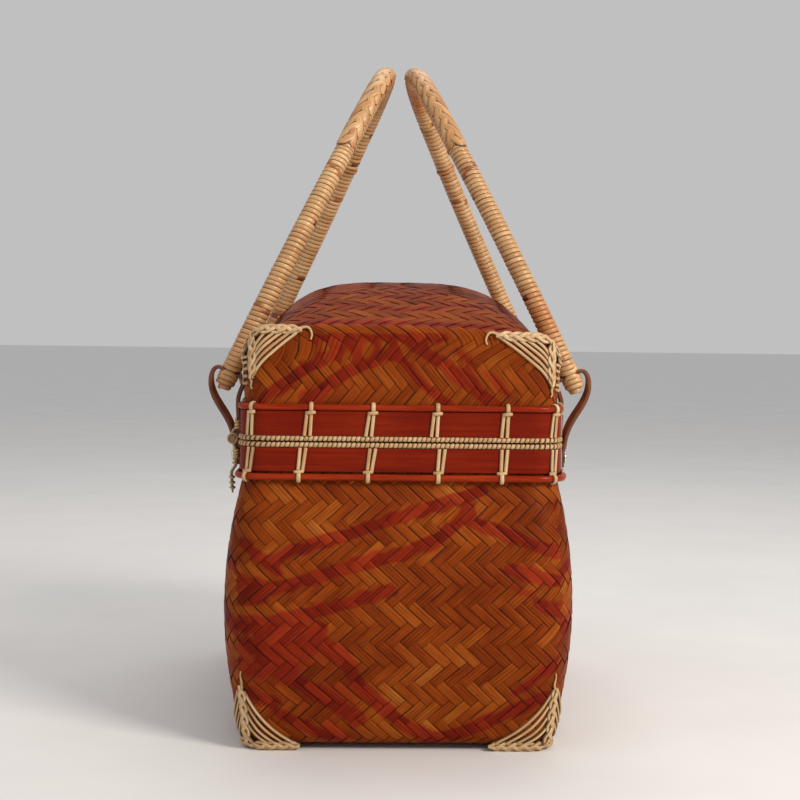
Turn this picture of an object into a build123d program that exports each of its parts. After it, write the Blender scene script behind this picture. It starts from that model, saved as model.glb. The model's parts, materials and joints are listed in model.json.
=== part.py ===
from build123d import *
import math
import os

# Woven bamboo bag with a domed, hinged lid and a pair of arched handles.
# Millimetres.  +Z is up, X runs across the narrow end, Y runs along the bag.
# The origin is the middle of the footprint, on the plane the bag stands on.
# "front" is the -Y end, "left" the -X side, which carries the lid's hinges.

os.makedirs("parts", exist_ok=True)

# ---------------------------------------------------------------- dimensions
LENGTHEN = 44.0          # half length minus half width, at every height
WEAVE_T = 1.6            # woven wall, two layers of strip
STAND_OFF = 3.0          # the base is held this far off the table
BODY_TOP = 154.2         # top edge of the woven wall
PARTING = 157.3          # height of the parting line
LID_BOTTOM = 160.4       # bottom edge of the lid's woven wall
LID_HALF_W = 79.8
LID_CORNER = 13.0
LID_EDGE_Z = 212.5       # lid corners
LID_RISE = 28.5          # crown above the corners

# half width and corner radius of the body's outer face at each height
BODY_PROFILE = [
    (3.0, 76.4, 10.0),
    (4.2, 78.6, 11.5),
    (6.6, 80.4, 13.5),
    (12.0, 82.3, 16.5),
    (22.0, 84.3, 20.5),
    (36.0, 86.9, 24.0),
    (54.0, 89.1, 26.0),
    (74.0, 89.7, 26.0),
    (94.0, 88.6, 24.5),
    (110.0, 86.5, 21.5),
    (124.0, 83.8, 18.0),
    (134.0, 81.4, 15.5),
    (141.5, 80.0, 13.0),
    (154.2, 80.0, 13.0),
]

BAND_IN, BAND_OUT = 80.1, 82.0          # body's outer band
BAND_Z0, BAND_Z1 = 142.4, 154.2
LID_BAND_IN, LID_BAND_OUT = 79.9, 81.8
LID_BAND_Z0, LID_BAND_Z1 = 160.4, 172.6
BAND_CORNER = 14.5                      # plan radius of the bands' outside
COIL_IN, COIL_OUT = 76.8, 82.7
COIL_H = 2.6
BODY_ROD_R, BODY_ROD_X, BODY_ROD_Z = 1.7, 82.85, 139.6
LID_ROD_R, LID_ROD_X, LID_ROD_Z = 1.6, 81.5, 174.6
TIE_W = 4.4

# handles: an arch in a plane that leans over the lid
FOOT_X, FOOT_Z = 93.0, 182.5
TOP_X, TOP_Z = 8.2, 358.0
HALF_SPAN = 90.0
TOP_R = 45.0             # radius of the grip
HANDLE_R = 5.3           # over the rattan wrap
CORE_R = 4.0
FOOT_ROUND = 2.6         # rounding of the wrapped feet
SLOT_Z = 190.8           # where the strap goes through the leg
SLOT_W, SLOT_H = 6.2, 2.9

STRAP_W, STRAP_T = 5.5, 2.3
RIVET_Z = 147.5
RIVET_R = 1.2

PIVOT_X = 86.0           # lid hinge axis, left side, at the parting line
HINGE_Y = 105.5


# ------------------------------------------------------------------ helpers
def plan(half_w, corner, mode=Mode.ADD):
    """Rounded rectangle of the bag's plan, in the sketch that is open."""
    RectangleRounded(2 * half_w, 2 * (half_w + LENGTHEN), corner, mode=mode)


def body_sections(o):
    """The body's outside grown by o, as (z, half width, corner)."""
    out = []
    for z, w, r in BODY_PROFILE:
        if z < 4:
            out.append((z - o, w + 0.4 * o, r + 0.4 * o))
        elif z < 6:
            out.append((z - 0.85 * o, w + 0.6 * o, r + 0.6 * o))
        elif z < 10:
            out.append((z - 0.5 * o, w + 0.85 * o, r + 0.8 * o))
        else:
            out.append((z, w + o, r + o))
    return out


def lid_height(x, y):
    """Height of the lid's top: a crown, long edges that drop between the
    corners, and short edges that rise a little between them."""
    a = abs(x) / LID_HALF_W
    b = abs(y) / (LID_HALF_W + LENGTHEN)
    crown = LID_RISE * max(1 - a**3.4, -0.3) * max(1 - b**2.2, -0.15)
    long_edge = 16.5 * a**7 * max(1 - b**14, 0.0)
    short_edge = 2.5 * b**6 * max(1 - a**2, 0.0)
    return LID_EDGE_Z + crown - long_edge + short_edge


NX, NY = 21, 29
GRID = [
    [
        (
            -84.5 + 169.0 * i / (NX - 1),
            -128.5 + 257.0 * j / (NY - 1),
            lid_height(-84.5 + 169.0 * i / (NX - 1), -128.5 + 257.0 * j / (NY - 1)),
        )
        for j in range(NY)
    ]
    for i in range(NX)
]
LID_TOP = Face.make_surface_from_array_of_points(
    [[Vector(*p) for p in row] for row in GRID], tol=0.05
)

# the arch in its own plane: u runs along the bag, v up the lean
LEAN = math.atan2(FOOT_X - TOP_X, TOP_Z - FOOT_Z)
RISE = math.hypot(FOOT_X - TOP_X, TOP_Z - FOOT_Z)
_c = RISE - TOP_R
LEG_R = (HALF_SPAN**2 + _c**2 - TOP_R**2) / (2 * (HALF_SPAN - TOP_R))
_d = math.hypot(LEG_R - HALF_SPAN, _c)
TANGENT_U = (LEG_R - HALF_SPAN) - LEG_R * (LEG_R - HALF_SPAN) / _d
TANGENT_V = LEG_R * _c / _d


def arch_point(u, v, side):
    """A point of the arch's plane in the bag's frame; side is +1 right."""
    return (
        side * (FOOT_X - v * math.sin(LEAN)),
        u,
        FOOT_Z + v * math.cos(LEAN),
    )


def leg_u(v):
    """Where the first leg's axis is along the bag, at height v."""
    return (LEG_R - HALF_SPAN) - math.sqrt(LEG_R**2 - v**2)


def handle_plane(side):
    """x runs along the bag, y up the lean, z squarely out of the arch."""
    return Plane(
        origin=arch_point(0, 0, side),
        x_dir=(0, side, 0),
        z_dir=(side * math.cos(LEAN), 0, math.sin(LEAN)),
    )


def offset_outline(points, t):
    """Both sides of a strip of thickness t along a line of (x, z) points."""
    left, right = [], []
    n = len(points)
    for i, (x, z) in enumerate(points):
        x0, z0 = points[max(i - 1, 0)]
        x1, z1 = points[min(i + 1, n - 1)]
        dx, dz = x1 - x0, z1 - z0
        m = math.hypot(dx, dz)
        nx, nz = -dz / m, dx / m
        left.append((x + nx * t / 2, z + nz * t / 2))
        right.append((x - nx * t / 2, z - nz * t / 2))
    return left + right[::-1]


def smooth(points, steps=4):
    """Catmull-Rom line through the points."""
    out = []
    p = [points[0]] + list(points) + [points[-1]]
    for i in range(1, len(p) - 2):
        for s in range(steps):
            t = s / steps
            q = []
            for k in (0, 1):
                a, b, c, d = p[i - 1][k], p[i][k], p[i + 1][k], p[i + 2][k]
                q.append(
                    0.5
                    * (
                        2 * b
                        + (c - a) * t
                        + (2 * a - 5 * b + 4 * c - d) * t**2
                        + (3 * b - a - 3 * c + d) * t**3
                    )
                )
            out.append(tuple(q))
    out.append(tuple(points[-1]))
    return out


def write(part, name):
    part.label = name
    export_step(part, "parts/" + name + ".step")


SIDES = (("left", -1), ("right", 1))
ENDS = (("front", -1), ("rear", 1))

# -------------------------------------------------------- body, woven basket
with BuildPart() as body_weave:
    for z, w, r in body_sections(0):
        with BuildSketch(Plane.XY.offset(z)):
            plan(w, r)
    loft(ruled=True)
    for z, w, r in body_sections(-WEAVE_T)[:-1] + [(BODY_TOP + 0.01, 78.4, 11.4)]:
        with BuildSketch(Plane.XY.offset(z)):
            plan(w, r)
    loft(ruled=True, mode=Mode.SUBTRACT)
    # the rivets of the straps go through the wall
    with Locations(*[Location((0, e * HALF_SPAN, RIVET_Z), (0, 90, 0)) for _, e in ENDS]):
        Cylinder(RIVET_R + 0.05, 240, mode=Mode.SUBTRACT)
write(body_weave.part, "body_weave")

# ------------------------------------------------- bands, rods and rims
def ring(z0, z1, inner, outer, corner):
    """A hoop of rectangular section that follows the plan."""
    with BuildSketch(Plane.XY.offset(z0)) as hoop:
        plan(outer, corner)
        plan(inner, corner - (outer - inner), mode=Mode.SUBTRACT)
    extrude(to_extrude=hoop.sketch, amount=z1 - z0)


with BuildPart() as body_outer_band:
    ring(BAND_Z0, BAND_Z1, BAND_IN, BAND_OUT, BAND_CORNER)
    with Locations(*[Location((0, e * HALF_SPAN, RIVET_Z), (0, 90, 0)) for _, e in ENDS]):
        Cylinder(RIVET_R + 0.05, 240, mode=Mode.SUBTRACT)
write(body_outer_band.part, "body_outer_band")

with BuildPart() as body_inner_band:
    ring(BAND_Z0, BAND_Z1 - 0.1, 76.4, 78.1, 11.3)
    with Locations(*[Location((0, e * HALF_SPAN, RIVET_Z), (0, 90, 0)) for _, e in ENDS]):
        Cylinder(RIVET_R + 0.05, 240, mode=Mode.SUBTRACT)
write(body_inner_band.part, "body_inner_band")

with BuildPart() as lid_outer_band:
    ring(LID_BAND_Z0, LID_BAND_Z1, LID_BAND_IN, LID_BAND_OUT, BAND_CORNER - 0.2)
write(lid_outer_band.part, "lid_outer_band")

with BuildPart() as lid_inner_band:
    ring(LID_BAND_Z0, LID_BAND_Z1, 76.2, 78.0, 11.8)
write(lid_inner_band.part, "lid_inner_band")


def rod_path(half_w, z, corner):
    """One closed hoop line round the plan, starting on the right side."""
    hw, hl, c = half_w, half_w + LENGTHEN, corner
    k = c * (1 - math.sqrt(0.5))
    pts = [
        ((hw, 0), (hw, hl - c)),
        ((hw, hl - c), (hw - k, hl - k), (hw - c, hl)),
        ((hw - c, hl), (-hw + c, hl)),
        ((-hw + c, hl), (-hw + k, hl - k), (-hw, hl - c)),
        ((-hw, hl - c), (-hw, -hl + c)),
        ((-hw, -hl + c), (-hw + k, -hl + k), (-hw + c, -hl)),
        ((-hw + c, -hl), (hw - c, -hl)),
        ((hw - c, -hl), (hw - k, -hl + k), (hw, -hl + c)),
        ((hw, -hl + c), (hw, 0)),
    ]
    for p in pts:
        q = [(x, y, z) for x, y in p]
        if len(q) == 2:
            Line(*q)
        else:
            ThreePointArc(*q)


with BuildPart() as body_lower_rod:
    with BuildLine():
        rod_path(BODY_ROD_X, BODY_ROD_Z, 15.5)
    with BuildSketch(Plane((BODY_ROD_X, 0, BODY_ROD_Z), x_dir=(1, 0, 0), z_dir=(0, 1, 0))):
        Circle(BODY_ROD_R)
    sweep()
write(body_lower_rod.part, "body_lower_rod")

with BuildPart() as lid_upper_rod:
    with BuildLine():
        rod_path(LID_ROD_X, LID_ROD_Z, 14.0)
    with BuildSketch(Plane((LID_ROD_X, 0, LID_ROD_Z), x_dir=(1, 0, 0), z_dir=(0, 1, 0))):
        Circle(LID_ROD_R)
    sweep()
write(lid_upper_rod.part, "lid_upper_rod")

# The rims: a flat cane over the wall's edge, lashed round with rattan.  The
# lashing is an open channel that takes in the cane.
with BuildPart() as body_rim_core:
    ring(BODY_TOP + 0.3, BODY_TOP + 1.8, 77.9, 81.6, 14.1)
write(body_rim_core.part, "body_rim_core")

with BuildPart() as body_rim_coil:
    ring(BODY_TOP + 0.2, BODY_TOP + 0.2 + COIL_H, COIL_IN, COIL_OUT, 15.2)
    with BuildSketch(Plane.XY.offset(BODY_TOP + 0.2)):
        plan(81.7, 14.2)
        plan(77.8, 10.3, mode=Mode.SUBTRACT)
    extrude(amount=1.7, mode=Mode.SUBTRACT)
write(body_rim_coil.part, "body_rim_coil")

with BuildPart() as lid_rim_core:
    ring(LID_BOTTOM - 1.8, LID_BOTTOM - 0.3, 77.9, 81.6, 14.1)
write(lid_rim_core.part, "lid_rim_core")

with BuildPart() as lid_rim_coil:
    ring(LID_BOTTOM - 0.2 - COIL_H, LID_BOTTOM - 0.2, COIL_IN, COIL_OUT, 15.2)
    with BuildSketch(Plane.XY.offset(LID_BOTTOM - 1.9)):
        plan(81.7, 14.2)
        plan(77.8, 10.3, mode=Mode.SUBTRACT)
    extrude(amount=1.7, mode=Mode.SUBTRACT)
write(lid_rim_coil.part, "lid_rim_coil")

# ------------------------------------------------------------------ ties
# Each tie is a doubled rattan strand over the band and round the rod.
BODY_TIE = [
    (82.1, 154.2), (82.1, 141.5), (84.7, 141.5), (84.7, 137.7), (82.9, 137.7),
    (82.9, 136.8), (85.6, 136.8), (85.6, 142.4), (83.0, 142.4), (83.0, 154.2),
]
LID_TIE = [
    (81.9, 160.4), (81.9, 172.85), (83.25, 172.85), (83.25, 176.35), (81.6, 176.35),
    (81.6, 177.2), (84.15, 177.2), (84.15, 172.0), (82.8, 172.0), (82.8, 160.4),
]
END_TIES_BODY = (-49.0, -14.2, 20.7, 52.0)
END_TIES_LID = (-45.5, -14.7, 17.7, 52.6)
CORNER_TIES = ((-1, 35.0), (1, 40.0))   # side, degrees round from the end
SIDE_TIES_RIGHT = (-106.0, -71.0, -35.5, 0.0, 35.5, 71.0, 106.0)
SIDE_TIES_LEFT = (-71.0, -35.5, 0.0, 35.5, 71.0)


def tie_planes(end_ties):
    """Where each tie stands: x of the plane points out of the wall."""
    planes = []
    for x in end_ties:
        planes.append(Plane(origin=(x, -LENGTHEN, 0), x_dir=(0, -1, 0), z_dir=(-1, 0, 0)))
        planes.append(Plane(origin=(-x, LENGTHEN, 0), x_dir=(0, 1, 0), z_dir=(1, 0, 0)))
    for side, degrees in CORNER_TIES:
        turn = math.radians(degrees)
        for e in (-1, 1):
            s = -side * e
            out = Vector(s * math.sin(turn), e * math.cos(turn), 0)
            centre = Vector(s * (BAND_OUT - BAND_CORNER), e * (BAND_OUT + LENGTHEN - BAND_CORNER), 0)
            planes.append(
                Plane(
                    origin=centre - out * (BAND_OUT - BAND_CORNER),
                    x_dir=out,
                    z_dir=out.cross(Vector(0, 0, 1)),
                )
            )
    for y in SIDE_TIES_RIGHT:
        planes.append(Plane(origin=(0, y, 0), x_dir=(1, 0, 0), z_dir=(0, -1, 0)))
    for y in SIDE_TIES_LEFT:
        planes.append(Plane(origin=(0, y, 0), x_dir=(-1, 0, 0), z_dir=(0, 1, 0)))
    return planes


with BuildPart() as body_band_ties:
    for pl in tie_planes(END_TIES_BODY):
        with BuildSketch(pl):
            with BuildLine():
                Polyline(*BODY_TIE, close=True)
            make_face()
        extrude(amount=TIE_W / 2, both=True)
write(body_band_ties.part, "body_band_ties")

with BuildPart() as lid_band_ties:
    for pl in tie_planes(END_TIES_LID):
        with BuildSketch(pl):
            with BuildLine():
                Polyline(*LID_TIE, close=True)
            make_face()
        extrude(amount=TIE_W / 2, both=True)
write(lid_band_ties.part, "lid_band_ties")

# ------------------------------------------------------------- lid, woven
with BuildPart() as lid_hollow:
    with BuildSketch(Plane.XY.offset(LID_BOTTOM - 5)):
        plan(LID_HALF_W - WEAVE_T, LID_CORNER - WEAVE_T)
    extrude(amount=120)
    extrude(
        to_extrude=LID_TOP.moved(Location((0, 0, -WEAVE_T - 0.2))),
        amount=140,
        dir=(0, 0, -1),
        mode=Mode.INTERSECT,
    )

with BuildPart() as lid_weave:
    with BuildSketch(Plane.XY.offset(LID_BOTTOM)):
        plan(LID_HALF_W, LID_CORNER)
    extrude(amount=120)
    extrude(to_extrude=LID_TOP, amount=140, dir=(0, 0, -1), mode=Mode.INTERSECT)
    add(lid_hollow.part, mode=Mode.SUBTRACT)
write(lid_weave.part, "lid_weave")


# ---------------------------------------------------------- corner guards
def grown_body(o):
    """The body's outside, filled, grown by o."""
    with BuildPart() as solid:
        for z, w, r in body_sections(o):
            with BuildSketch(Plane.XY.offset(z)):
                plan(w, r)
        loft(ruled=True)
    return solid.part


def grown_lid(o):
    """The upper part of the lid's outside, filled, grown by o."""
    with BuildPart() as solid:
        with BuildSketch(Plane.XY.offset(LID_BOTTOM + 18)):
            plan(LID_HALF_W + o, LID_CORNER + o)
        extrude(amount=100)
        extrude(
            to_extrude=LID_TOP.moved(Location((0, 0, o))),
            amount=140,
            dir=(0, 0, -1),
            mode=Mode.INTERSECT,
        )
    return solid.part


def bar(start, end, width, depth_dir, depth):
    """A flat bar along a line, deep in one direction, to cut a strand."""
    a, b = Vector(*start), Vector(*end)
    d = (b - a).normalized()
    n = Vector(*depth_dir)
    n = (n - d * n.dot(d)).normalized()
    with BuildPart() as one:
        with Locations(Plane(origin=(a + b) * 0.5, x_dir=d, z_dir=n).location):
            Box((b - a).length, width, depth)
    return one.part


with BuildPart() as plait_shell:
    add(grown_body(STAND_OFF))
    add(grown_body(0.15), mode=Mode.SUBTRACT)

with BuildPart() as strand_shell:
    add(grown_body(1.4))
    add(grown_body(0.15), mode=Mode.SUBTRACT)

with BuildPart() as lid_plait_shell:
    add(grown_lid(2.8))
    add(grown_lid(0.15), mode=Mode.SUBTRACT)

with BuildPart() as lid_strand_shell:
    add(grown_lid(1.4))
    add(grown_lid(0.15), mode=Mode.SUBTRACT)

# a base corner: three plaits that meet, and strands that brace them
with BuildPart() as base_arms:
    with Locations((66.0, 121.5, 2.4)):
        Box(31, 15, 6.4)
    with Locations((77.5, 109.0, 2.4)):
        Box(15, 32, 6.4)
    with Locations(Location((76.0, 120.0, 18.0), (0, 0, -45))):
        Box(7.0, 40.0, 40.0)

with BuildPart() as base_web:
    for h, g in ((12.0, 11.0), (20.0, 18.0), (28.0, 25.0)):
        add(bar((81.0, 124, h + 3), (79.5 - g, 124, 2.5), 2.0, (0, 1, 0), 14))
        add(bar((80, 124.5, h + 3), (80, 123.0 - g, 2.5), 2.0, (1, 0, 0), 14))

with BuildPart() as base_guard:
    add(strand_shell.part)
    add(base_web.part, mode=Mode.INTERSECT)
    add(plait_shell.part & base_arms.part)

# a lid corner: the same, turned up over the top edges
with BuildPart() as lid_arms:
    add(bar((84.0, 120.5, 211.5), (53.0, 120.5, 213.0), 8.0, (0, 1, 0), 8.0))
    add(bar((77.5, 127.0, 212.5), (77.5, 98.5, 204.0), 8.0, (1, 0, 0), 8.0))
    with Locations(Location((77.0, 121.0, 200.0), (0, 0, -45))):
        Box(6.0, 30.0, 27.0)

with BuildPart() as lid_web:
    for h, g in ((7.0, 8.0), (13.0, 14.0), (19.0, 20.0)):
        add(bar((82.0, 124, 210.0 - h), (78.5 - g, 124, 211.5), 2.0, (0, 1, 0), 8))
        add(bar((80, 126.0, 209.0 - h), (80, 122.5 - g, 207.5), 2.0, (1, 0, 0), 8))

with BuildPart() as lid_guard:
    add(lid_strand_shell.part)
    add(lid_web.part, mode=Mode.INTERSECT)
    add(lid_plait_shell.part & lid_arms.part)

for kind, corner in (("base_guard_", base_guard.part), ("lid_guard_", lid_guard.part)):
    write(corner, kind + "rear_right")
    write(corner.mirror(Plane.YZ), kind + "rear_left")
    write(corner.mirror(Plane.XZ), kind + "front_right")
    write(corner.mirror(Plane.YZ).mirror(Plane.XZ), kind + "front_left")

# ------------------------------------------------------------------ hinges
# A rattan core lies along the hinge axis; two eyes hold it to the body and
# one eye, which turns round it, holds the lid.
for end, e in ENDS:
    y = e * HINGE_Y
    pivot = Location((-PIVOT_X, y, PARTING), (90, 0, 0))
    with BuildPart() as hinge_core:
        with Locations(pivot):
            Cylinder(1.5, 9.0)
    write(hinge_core.part, "hinge_core_" + end)

    with BuildPart() as hinge_body_loop:
        with Locations(
            Location((-PIVOT_X, y - 3.05, PARTING), (90, 0, 0)),
            Location((-PIVOT_X, y + 3.05, PARTING), (90, 0, 0)),
        ):
            Cylinder(3.05, 2.7)
        with Locations((-84.6, y - 3.05, 154.0), (-84.6, y + 3.05, 154.0)):
            Box(3.2, 2.7, 5.4)
        with Locations((-84.6, y, 150.2)):
            Box(3.2, 8.8, 6.8)
        with Locations((-84.6, y, 144.6)):
            Box(3.2, 3.0, 5.2)
        # the knotted tail hangs over the rod, down the side
        with Locations((-86.1, y, 137.0)):
            Box(2.4, 3.0, 16.0)
        with Locations(pivot):
            Cylinder(1.55, 20, mode=Mode.SUBTRACT)
    write(hinge_body_loop.part, "hinge_body_loop_" + end)

    with BuildPart() as hinge_lid_loop:
        with Locations(pivot):
            Cylinder(3.05, 2.8)
        with Locations((-84.0, y, 159.8)):
            Box(2.0, 2.8, 5.0)
        with Locations((-83.9, y, 164.6)):
            Box(1.8, 7.0, 6.4)
        with Locations(pivot):
            Cylinder(1.55, 20, mode=Mode.SUBTRACT)
    write(hinge_lid_loop.part, "hinge_lid_loop_" + end)

# ------------------------------------------------------------------ straps
# Each strap starts under the rivet, runs up between leg and lid, goes out
# through the leg's slot and comes down again outside it to the same rivet.
_sx = FOOT_X - (SLOT_Z - FOOT_Z) * math.tan(LEAN)
_nx, _nz = math.cos(LEAN), math.sin(LEAN)
STRAP_INNER = [
    (83.27, 142.6), (83.27, 146.0), (83.3, 150.0), (84.0, 153.4), (84.3, 157.0),
    (84.35, 161.0), (84.5, 167.0), (84.75, 172.5), (84.7, 177.0), (83.6, 181.0),
    (82.3, 184.3), (82.2, 186.6), (83.1, 188.0),
    (_sx - 5.0 * _nx, SLOT_Z - 5.0 * _nz),
    (_sx, SLOT_Z),
]
STRAP_OUTER = [
    (_sx, SLOT_Z),
    (_sx + 5.0 * _nx, SLOT_Z + 5.0 * _nz),
    (95.6, 193.7), (97.8, 193.2), (99.6, 190.6), (100.2, 187.0), (99.8, 183.0),
    (98.0, 178.4), (95.4, 173.9), (92.3, 169.4), (89.6, 165.2), (87.6, 160.8),
    (86.6, 156.6), (86.3, 153.4), (85.5, 150.0), (85.47, 146.0), (85.47, 142.6),
]

for side, s in SIDES:
    for end, e in ENDS:
        across = Plane(origin=(0, e * HALF_SPAN, 0), x_dir=(s, 0, 0), z_dir=(0, -s, 0))
        with BuildPart() as strap:
            for line in (STRAP_INNER, STRAP_OUTER):
                with BuildSketch(across):
                    with BuildLine():
                        Polyline(*offset_outline(smooth(line, 3), STRAP_T), close=True)
                    make_face()
                extrude(amount=STRAP_W / 2, both=True)
            with Locations(Location((s * 85.0, e * HALF_SPAN, RIVET_Z), (0, 90, 0))):
                Cylinder(RIVET_R + 0.05, 8, mode=Mode.SUBTRACT)
        write(strap.part, "strap_" + side + "_" + end)

        with BuildPart() as rivet:
            with Locations(Location((s * 81.2, e * HALF_SPAN, RIVET_Z), (0, 90, 0))):
                Cylinder(RIVET_R, 11.8)
            with Locations(Location((s * 87.4, e * HALF_SPAN, RIVET_Z), (0, 90 * s, 0))):
                Cylinder(3.0, 1.3)
            fillet(rivet.edges().filter_by(GeomType.CIRCLE).sort_by(Axis.X)[-1 if s > 0 else 0], 1.1)
            with Locations(Location((s * 75.75, e * HALF_SPAN, RIVET_Z), (0, 90, 0))):
                Cylinder(2.5, 1.1)
        write(rivet.part, "rivet_" + side + "_" + end)


# ----------------------------------------------------------------- handles
def section_plane(side, v0):
    """Square to the axis at v0 above the first foot; x points out."""
    hp = handle_plane(side)
    slope = v0 / LEG_R
    return Plane(
        origin=hp.origin + hp.x_dir * leg_u(v0) + hp.y_dir * v0,
        x_dir=hp.z_dir,
        z_dir=hp.x_dir * slope + hp.y_dir * math.sqrt(1 - slope**2),
    )


def draw_circle(plane, r):
    with BuildSketch(plane) as disc:
        Circle(r)
    return disc.sketch


def draw_plait(plane, r):
    with BuildSketch(plane) as cover:
        with BuildLine():
            outer = CenterArc((0, 0), r, -130, 140)
            inner = CenterArc((0, 0), HANDLE_R + 0.1, -130, 140)
            Line(outer @ 0, inner @ 0)
            Line(outer @ 1, inner @ 1)
        make_face()
    return cover.sketch


def arch(side, v0, draw, r):
    """A rod along the arch from v0 above one foot to v0 above the other:
    a long arc up each leg and a tight one over the grip."""
    hp = handle_plane(side)
    leg_axis = Axis(hp.origin + hp.x_dir * (LEG_R - HALF_SPAN), -hp.z_dir)
    top_axis = Axis(hp.origin + hp.y_dir * (RISE - TOP_R), -hp.z_dir)
    leg_turn = math.degrees(math.asin(TANGENT_V / LEG_R) - math.asin(v0 / LEG_R))
    beta = math.degrees(math.atan2(TANGENT_V - (RISE - TOP_R), -TANGENT_U))
    with BuildPart() as leg:
        revolve(draw(section_plane(side, v0), r), axis=leg_axis, revolution_arc=leg_turn)
    with BuildPart() as rod:
        revolve(
            draw(section_plane(side, TANGENT_V), r),
            axis=top_axis,
            revolution_arc=180 - 2 * beta,
        )
        add(leg.part)
        add(leg.part.mirror(Plane.XZ))
    return rod.part


def foot_cap(side):
    """The rounded end of one wrapped foot."""
    sp = section_plane(side, FOOT_ROUND)
    with BuildPart() as cap:
        with BuildSketch(Plane(sp.origin, x_dir=sp.x_dir, z_dir=sp.x_dir.cross(sp.z_dir))):
            with BuildLine():
                Polyline((HANDLE_R, 0), (0, 0), (0, -FOOT_ROUND), (HANDLE_R - FOOT_ROUND, -FOOT_ROUND))
                RadiusArc((HANDLE_R - FOOT_ROUND, -FOOT_ROUND), (HANDLE_R, 0), -FOOT_ROUND)
            make_face()
        revolve(axis=Axis(sp.origin, sp.z_dir))
    return cap.part


SLOT_V = (SLOT_Z - FOOT_Z) / math.cos(LEAN)
PLAIT_V = 146.0

for side, s in SIDES:
    hp = handle_plane(s)
    slots = [
        Plane(
            origin=hp.origin + hp.x_dir * (k * leg_u(SLOT_V)) + hp.y_dir * SLOT_V,
            x_dir=hp.x_dir,
            z_dir=hp.z_dir,
        ).location
        for k in (-1, 1)
    ]

    with BuildPart() as handle_core:
        add(arch(s, 2.0, draw_circle, CORE_R))
        with Locations(*slots):
            Box(SLOT_W, SLOT_H, 20, mode=Mode.SUBTRACT)
    write(handle_core.part, "handle_core_" + side)

    with BuildPart() as handle_wrap:
        add(arch(s, FOOT_ROUND, draw_circle, HANDLE_R))
        add(foot_cap(s))
        add(foot_cap(s).mirror(Plane.XZ))
        add(arch(s, 1.95, draw_circle, CORE_R + 0.05), mode=Mode.SUBTRACT)
        with Locations(*slots):
            Box(SLOT_W, SLOT_H, 20, mode=Mode.SUBTRACT)
    write(handle_wrap.part, "handle_wrap_" + side)

    # a plait laid over the outer and upper side of the grip
    with BuildPart() as handle_plait:
        add(arch(s, PLAIT_V, draw_plait, 7.0))
    write(handle_plait.part, "handle_plait_" + side)
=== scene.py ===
import json
import math

import bpy
import numpy as np
from mathutils import Matrix, Vector

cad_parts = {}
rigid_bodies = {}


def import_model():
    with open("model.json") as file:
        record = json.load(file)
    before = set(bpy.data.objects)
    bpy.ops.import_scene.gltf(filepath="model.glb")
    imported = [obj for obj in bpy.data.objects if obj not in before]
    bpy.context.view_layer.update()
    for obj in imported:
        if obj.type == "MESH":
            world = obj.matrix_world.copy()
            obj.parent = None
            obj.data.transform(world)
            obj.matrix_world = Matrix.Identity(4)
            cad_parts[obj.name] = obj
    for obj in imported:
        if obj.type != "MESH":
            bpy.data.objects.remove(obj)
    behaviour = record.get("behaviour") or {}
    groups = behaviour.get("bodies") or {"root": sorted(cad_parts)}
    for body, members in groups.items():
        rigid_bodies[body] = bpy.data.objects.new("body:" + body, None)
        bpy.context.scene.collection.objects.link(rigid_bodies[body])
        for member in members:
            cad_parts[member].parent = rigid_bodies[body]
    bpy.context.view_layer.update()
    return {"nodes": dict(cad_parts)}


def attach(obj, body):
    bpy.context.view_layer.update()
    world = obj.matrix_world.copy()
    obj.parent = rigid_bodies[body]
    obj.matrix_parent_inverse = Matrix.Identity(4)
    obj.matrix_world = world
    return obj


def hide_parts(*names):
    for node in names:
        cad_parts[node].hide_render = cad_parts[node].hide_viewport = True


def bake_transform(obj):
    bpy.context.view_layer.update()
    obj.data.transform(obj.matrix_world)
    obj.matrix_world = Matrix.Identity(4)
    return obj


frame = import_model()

MM = 0.001
RNG = np.random.default_rng(20417)

# Lengths below are millimetres in the bag's frame; meshes are made in metres.
LENGTHEN = 44.0


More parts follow.
